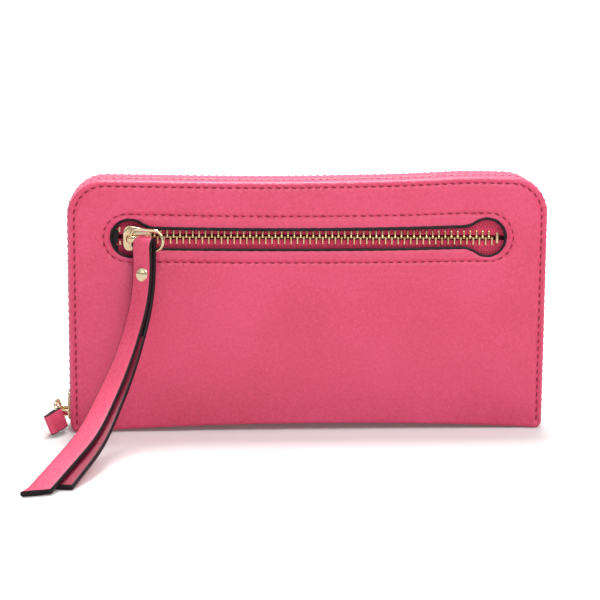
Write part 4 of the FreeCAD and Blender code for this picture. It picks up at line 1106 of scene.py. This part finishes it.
# ------------------------------------------------------------------ inside
def sheet(name, node, body, material, slot, outline, face, back, insets=(0.0, 0.8, 2.4), settle=slouch):
    """Thin soft panel. outline(inset) is its edge; face and back give each side's y at (x, z)."""
    loops = [resample(outline(inset), 1.6) for inset in insets]
    xs, zs = [p[0] for p in outline(0.0)], [p[1] for p in outline(0.0)]
    verts, faces = fill(loops, 4.5, (min(xs), max(xs), min(zs), max(zs)))
    solid, result, _ = shell(verts, faces, lambda x, z: settle(x, face(x, z), z),
                             lambda x, z: settle(x, back(x, z), z))
    build(name, solid, result, [material], body, slot, node=node, cut=50)


def card_slips(side, outward, body):
    """Four stepped card slips with folded and stitched mouths, on the lining of one cover."""
    bag = Bag()
    for k in range(1, 5):
        node = "%s_card_slip_%d" % (side, k)
        low, high = span(node)
        inner = low.y if outward > 0 else high.y
        thick = high.y - low.y

        def bulge(x, z):
            rise = smoothstep((z - low.z) / (high.z - low.z))
            return (0.15 + 0.14 * k) * rise * math.cos(math.pi * x / (2.0 * high.x)) ** 2

        def face(x, z):
            drop = high.z - z
            hem = wave(drop, 0.24, 1.4, 1.1) - wave(drop, 0.12, 3.1, 0.4)
            return inner + outward * (thick + bulge(x, z) + hem)
        outline = shrinking(high.x, low.z, high.z, 2.5, 2.5, 0.8, 0.8)
        sheet(node + "_panel", node, body, SLIP, "strap_leather", outline, face,
              lambda x, z: inner + outward * bulge(x, z), insets=(0.0, 0.5, 1.4, 2.3, 3.1, 4.0))
        place = place_on(face, outward, 0.08)
        path = resample([(-high.x + 2.5, high.z - 3.1), (high.x - 2.5, high.z - 3.1)], 0.5, closed=False)
        stitches(bag, path, FINE_PITCH, place, 0.2, 0.7)
    bag.build(side + "_slip_stitching", THREAD, body, "strap_leather")


def lining(side, outward, body):
    """Twill over the board, turned out to the zip band round three sides."""
    node = side + "_lining"
    low, high = span(node)
    inner = low.y if outward > 0 else high.y
    half, top = HALF_W - 1.3, TOP - 1.3

    def face(x, z):
        depth = block_depth(x, z, half, low.z, top, CORNER - 1.3, 2.5)
        turn_in = 0.8 * (1.0 - smoothstep(depth / 4.5)) * smoothstep((z - 8.0) / 10.0)
        wrinkle = 0.18 * noise.noise(Vector((x * 0.05, z * 0.11, 4.0))) * smoothstep((z - 89.0) / 5.0)
        return inner + outward * (high.y - low.y + turn_in + wrinkle)
    outline = shrinking(half, low.z, top, CORNER - 1.3, 2.5, 1.0, 0.3)
    sheet(side + "_twill_lining", node, body, LINING, "lining", outline, face,
          lambda x, z: face(x, z) - outward * 0.32, insets=(0.0, 1.2, 2.6, 4.4))


def coin_pocket():
    """Central zipped pocket: two soft panels closed round three sides."""
    bag = Bag()
    for side, outward in (("front", -1), ("back", 1)):
        node = "coin_pocket_" + side
        low, high = span(node)
        outer = low.y if outward < 0 else high.y

        def face(x, z):
            rim = min(high.x - abs(x), z - low.z)
            pinch = 1.0 - smoothstep(rim / 5.0)
            seam = wave(rim, 0.12, 2.6, 0.4)
            puff = 0.45 * smoothstep(rim / 26.0) + 0.25 * noise.noise(Vector((x * 0.04, z * 0.05, 9.0)))
            return outer + outward * (puff * smoothstep(rim / 12.0) - 1.2 * pinch - seam)
        outline = shrinking(high.x, low.z, high.z, 2.0, 4.0, 0.4, 0.6)
        sheet(node + "_panel", node, "coin_divider", SLIP, "strap_leather", outline, face,
              lambda x, z: face(x, z) - outward * 0.55, insets=(0.0, 0.6, 1.5, 2.6, 3.6, 5.0),
              settle=foot_lift)
        w, foot, top = high.x - 2.6, low.z + 2.6, high.z
        for path in ([(-w, top - 1.5), (-w, foot), (w, foot), (w, top - 1.5)],
                     [(3 - w, top - 2.0), (w - 3, top - 2.0)]):
            stitches(bag, resample(path, 0.5, closed=False), FINE_PITCH,
                     place_on(face, outward, 0.05, foot_lift), 0.2, 0.7)
    bag.build("coin_pocket_stitching", THREAD, "coin_divider", "strap_leather")


def coin_zip():
    """The small zip along the mouth of the coin pocket."""
    middle = (span("coin_pocket_front")[0].y + span("coin_pocket_back")[1].y) / 2
    low, high = span("coin_teeth_front")
    level = (low.z + high.z) / 2
    for side, outward in (("front", -1), ("back", 1)):
        tape = "coin_zip_tape_" + side
        low_t, high_t = span(tape)

        def weave(s, t):
            x = low_t.x + (high_t.x - low_t.x) * s
            y = low_t.y + (high_t.y - low_t.y) * t
            crown = 0.18 * math.sin(math.pi * t)
            return x, y, high_t.z + crown + 0.05 * noise.noise(Vector((x * 0.2, y, 0)))
        slab(tape + "_cloth", tape, "coin_divider", TAPE, "zip_tape", weave, 60, 6,
             (0, 0, low_t.z - high_t.z))
        row = "coin_teeth_" + side
        low_r, high_r = span(row)

        def place(i):
            x, z = low_r.x + 0.45 + COIN_PITCH * i, (low_r.z + high_r.z) / 2
            return lambda u, v, w: (x + w * 0.75, middle + outward * u * 0.42, z + v * 0.62)
        count = int(round((high_r.x - low_r.x - 0.9) / COIN_PITCH)) + 1
        teeth_row(row, "coin_divider", [place(i) for i in range(count)])
    low, high = span("coin_slider")

    def frame_of(along, across, out):
        return (low.x + along * 0.66, middle + across * 0.24, level + out * 0.6)
    zip_slider("coin", frame_of, frame_of, 1.4, (high.z - level) / 0.6 - CROWN, width=5.0)


def coin_puller():
    """Flat pear-shaped puller with an eye for its slider's bail."""
    low, high = span("coin_puller")
    half = (high.y - low.y) / 2
    hinge = Vector(joint("coin_puller_swing")["pos_m"]) / MM
    reach = high.x - low.x
    spots = [(0.0, 0.55), (0.25, 0.85), (0.9, 1.0), (2.4, 0.95), (3.6, 0.55), (4.6, 0.5),
             (6.4, 0.8), (8.6, 1.0), (11.0, 0.98), (12.2, 0.75), (12.8, 0.35)]
    edge = [(low.x + a * reach / 12.8, half * b) for a, b in spots]
    loop = resample(edge + [(x, -y) for x, y in reversed(edge)], 0.5)
    eye = resample([(hinge.x + a, b) for a, b in oval(0.95, 0.6 * half, 24)], 0.35)
    verts, faces = fill([loop, eye], 0.9, (low.x, high.x, -half, half), [tuple(p) for p in eye])
    centre = (low.y + high.y) / 2
    rim = np.array([(p.x, p.y) for p in loop])

    def upper(x, y):
        inset = float(np.min(np.hypot(rim[:, 0] - x, rim[:, 1] - y)))
        return x, centre + y, high.z - 0.22 * (1.0 - smoothstep(inset / 0.6))

    def lower(x, y):
        return x, centre + y, low.z + high.z - upper(x, y)[2]
    solid, result, _ = shell(verts, faces, upper, lower)
    build("coin_zip_puller", solid, result, [GOLD], "coin_puller", "gold_metal", node="coin_puller",
          cut=50)


def gusset(side, sign):
    """Folded cloth wall at one end, joining both covers."""
    node = side + "_gusset"
    low, high = span(node)
    outer = max(abs(low.x), abs(high.x))
    apex = min(abs(low.x), abs(high.x)) + 0.5

    def point(s, t):
        fold = math.sqrt((2.0 * t - 1.0) ** 2 + 0.004)
        z = low.z + (high.z - low.z) * s
        ripple = 0.35 * noise.noise(Vector((z * 0.09, t * 2.0, sign * 3.0))) * (1.0 - fold)
        x = apex + (outer - 0.5 - apex) * min(1.0, fold) + ripple
        return slouch(sign * x, low.y + (high.y - low.y) * t, z)
    piece = slab(side + "_gusset_cloth", node, None, LINING, None, point, 40, 24, (0.5 * sign, 0, 0))
    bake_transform(piece)


def interior():
    lining("front", 1, "front_cover")
    lining("back", -1, "back_cover")
    card_slips("front", 1, "front_cover")
    card_slips("back", -1, "back_cover")
    coin_pocket()
    coin_zip()
    coin_puller()
    gusset("left", -1)
    gusset("right", 1)
    low, high = span("pocket_bag")

    def cloth(x, z):
        return low.y + 0.12 * noise.noise(Vector((x * 0.04, z * 0.06, 11.0)))
    sheet("pocket_bag_cloth", "pocket_bag", "front_cover", LINING, "lining",
          shrinking(high.x, low.z, high.z, 6.0, 6.0), cloth,
          lambda x, z: cloth(x, z) + 0.4)
    for node in ("front_board", "back_board"):
        board = frame["nodes"][node]
        board.data.materials.clear()
        board.data.materials.append(BOARD)


# ------------------------------------------------------------------ studio
def sky(scene):
    """Soft light from all round, brighter in bands so that metal has something to reflect."""
    world = bpy.data.worlds.new("studio")
    scene.world = world
    world.use_nodes = True
    tree = world.node_tree
    tree.nodes.clear()
    out, light, seen, mix, path, coords, split, ramp, remap = (
        tree.nodes.new("ShaderNode" + kind) for kind in (
            "OutputWorld", "Background", "Background", "MixShader", "LightPath", "TexCoord",
            "SeparateXYZ", "ValToRGB", "MapRange"))
    remap.inputs["From Min"].default_value = -0.2
    light.inputs["Strength"].default_value = 0.52
    seen.inputs["Color"].default_value = (1, 1, 1, 1)
    seen.inputs["Strength"].default_value = 1.05
    bands = ((0.0, 0.35), (0.15, 0.10), (0.22, 0.30), (0.34, 1.15), (0.5, 0.75), (0.7, 1.25), (1.0, 1.1))
    elements = ramp.color_ramp.elements
    while len(elements) < len(bands):
        elements.new(0.5)
    for element, (place, value) in zip(elements, bands):
        element.position = place
        element.color = (value, value, value, 1)
    for source, target in ((coords.outputs["Generated"], split.inputs[0]),
                           (split.outputs["Z"], remap.inputs["Value"]),
                           (remap.outputs[0], ramp.inputs[0]), (ramp.outputs[0], light.inputs["Color"]),
                           (path.outputs["Is Camera Ray"], mix.inputs[0]),
                           (light.outputs[0], mix.inputs[1]), (seen.outputs[0], mix.inputs[2]),
                           (mix.outputs[0], out.inputs[0])):
        tree.links.new(source, target)


def studio():
    """Pale floor that brightens away from the wallet, three soft lamps and the camera."""
    scene = bpy.context.scene
    floor_mesh = bpy.data.meshes.new("studio_floor")
    floor_mesh.from_pydata([(-6, -6, 0), (6, -6, 0), (6, 6, 0), (-6, 6, 0)], [], [(0, 1, 2, 3)])
    floor = bpy.data.objects.new("studio_floor", floor_mesh)
    scene.collection.objects.link(floor)
    n = Nodes("floor_white")
    # The floor glows: weakly near the wallet and fully white from about 0.9 m out. This emission is
    # painted light that keeps the backdrop white.
    away = n.add("ShaderNodeVectorMath", operation="LENGTH")
    n.link(n.coords, away.inputs[0])
    glow = n.math("MULTIPLY", n.math("SUBTRACT", away.outputs["Value"], 0.30), 1.6, clamp=True)
    glow = n.math("ADD", glow, 0.08)
    # In reflections the floor is greyer and glows half as much: a painted reflection, so the metal has
    # dark to mirror.
    glossy = n.add("ShaderNodeLightPath").outputs["Is Glossy Ray"]
    glow = n.math("MULTIPLY", glow, n.math("SUBTRACT", 1.0, n.math("MULTIPLY", glossy, 0.5)))
    tone = n.mix(glossy, (0.78, 0.765, 0.765), (0.42, 0.41, 0.41))
    floor_mesh.materials.append(n.finish(tone, 0.9, **{
        "Specular IOR Level": 0.0, "Emission Color": (1.0, 1.0, 1.0), "Emission Strength": glow}))

    sky(scene)
    for name, place, aim, wide, power in (
            ("key", (0.30, -0.72, 0.90), (0, 0, 0.05), 0.5, 6.0),
            ("top", (0.02, 0.30, 1.0), (0, 0, 0.0), 0.36, 13.5),
            ("fill", (-0.7, -0.8, 0.5), (0, 0, 0.05), 0.6, 0.8)):
        lamp = bpy.data.lights.new(name, "AREA")
        lamp.size = wide
        lamp.energy = power
        thing = bpy.data.objects.new(name, lamp)
        thing.location = place
        heading = Vector(aim) - Vector(place)
        thing.rotation_euler = heading.to_track_quat("-Z", "Y").to_euler()
        scene.collection.objects.link(thing)
    scene.view_settings.view_transform = "Standard"

    camera = bpy.data.cameras.new("camera")
    distance, azimuth, elevation = 0.75, math.radians(-4.0), math.radians(10.0)
    target = Vector((-0.00385, -0.012, 0.05546))
    eye = target + distance * Vector((math.sin(azimuth) * math.cos(elevation),
                                      -math.cos(azimuth) * math.cos(elevation), math.sin(elevation)))
    camera.sensor_width = 36.0
    camera.lens = 36.0 * distance / 0.2475
    camera.clip_start = 0.01
    shot = bpy.data.objects.new("camera", camera)
    shot.location = eye
    roll = Matrix.Rotation(math.radians(0.35), 3, "Z").to_quaternion()
    shot.rotation_euler = ((target - eye).to_track_quat("-Z", "Y") @ roll).to_euler()
    scene.collection.objects.link(shot)
    scene.camera = shot


outer_leather()
spine()
side_band("main_tape_front_band", -1, "main_zip_tape_front", "front_cover")
side_band("main_tape_back_band", 1, "main_zip_tape_back", "back_cover")
pocket_chain()
perimeter_chain()
hardware()
strap()
tab()
interior()
studio()
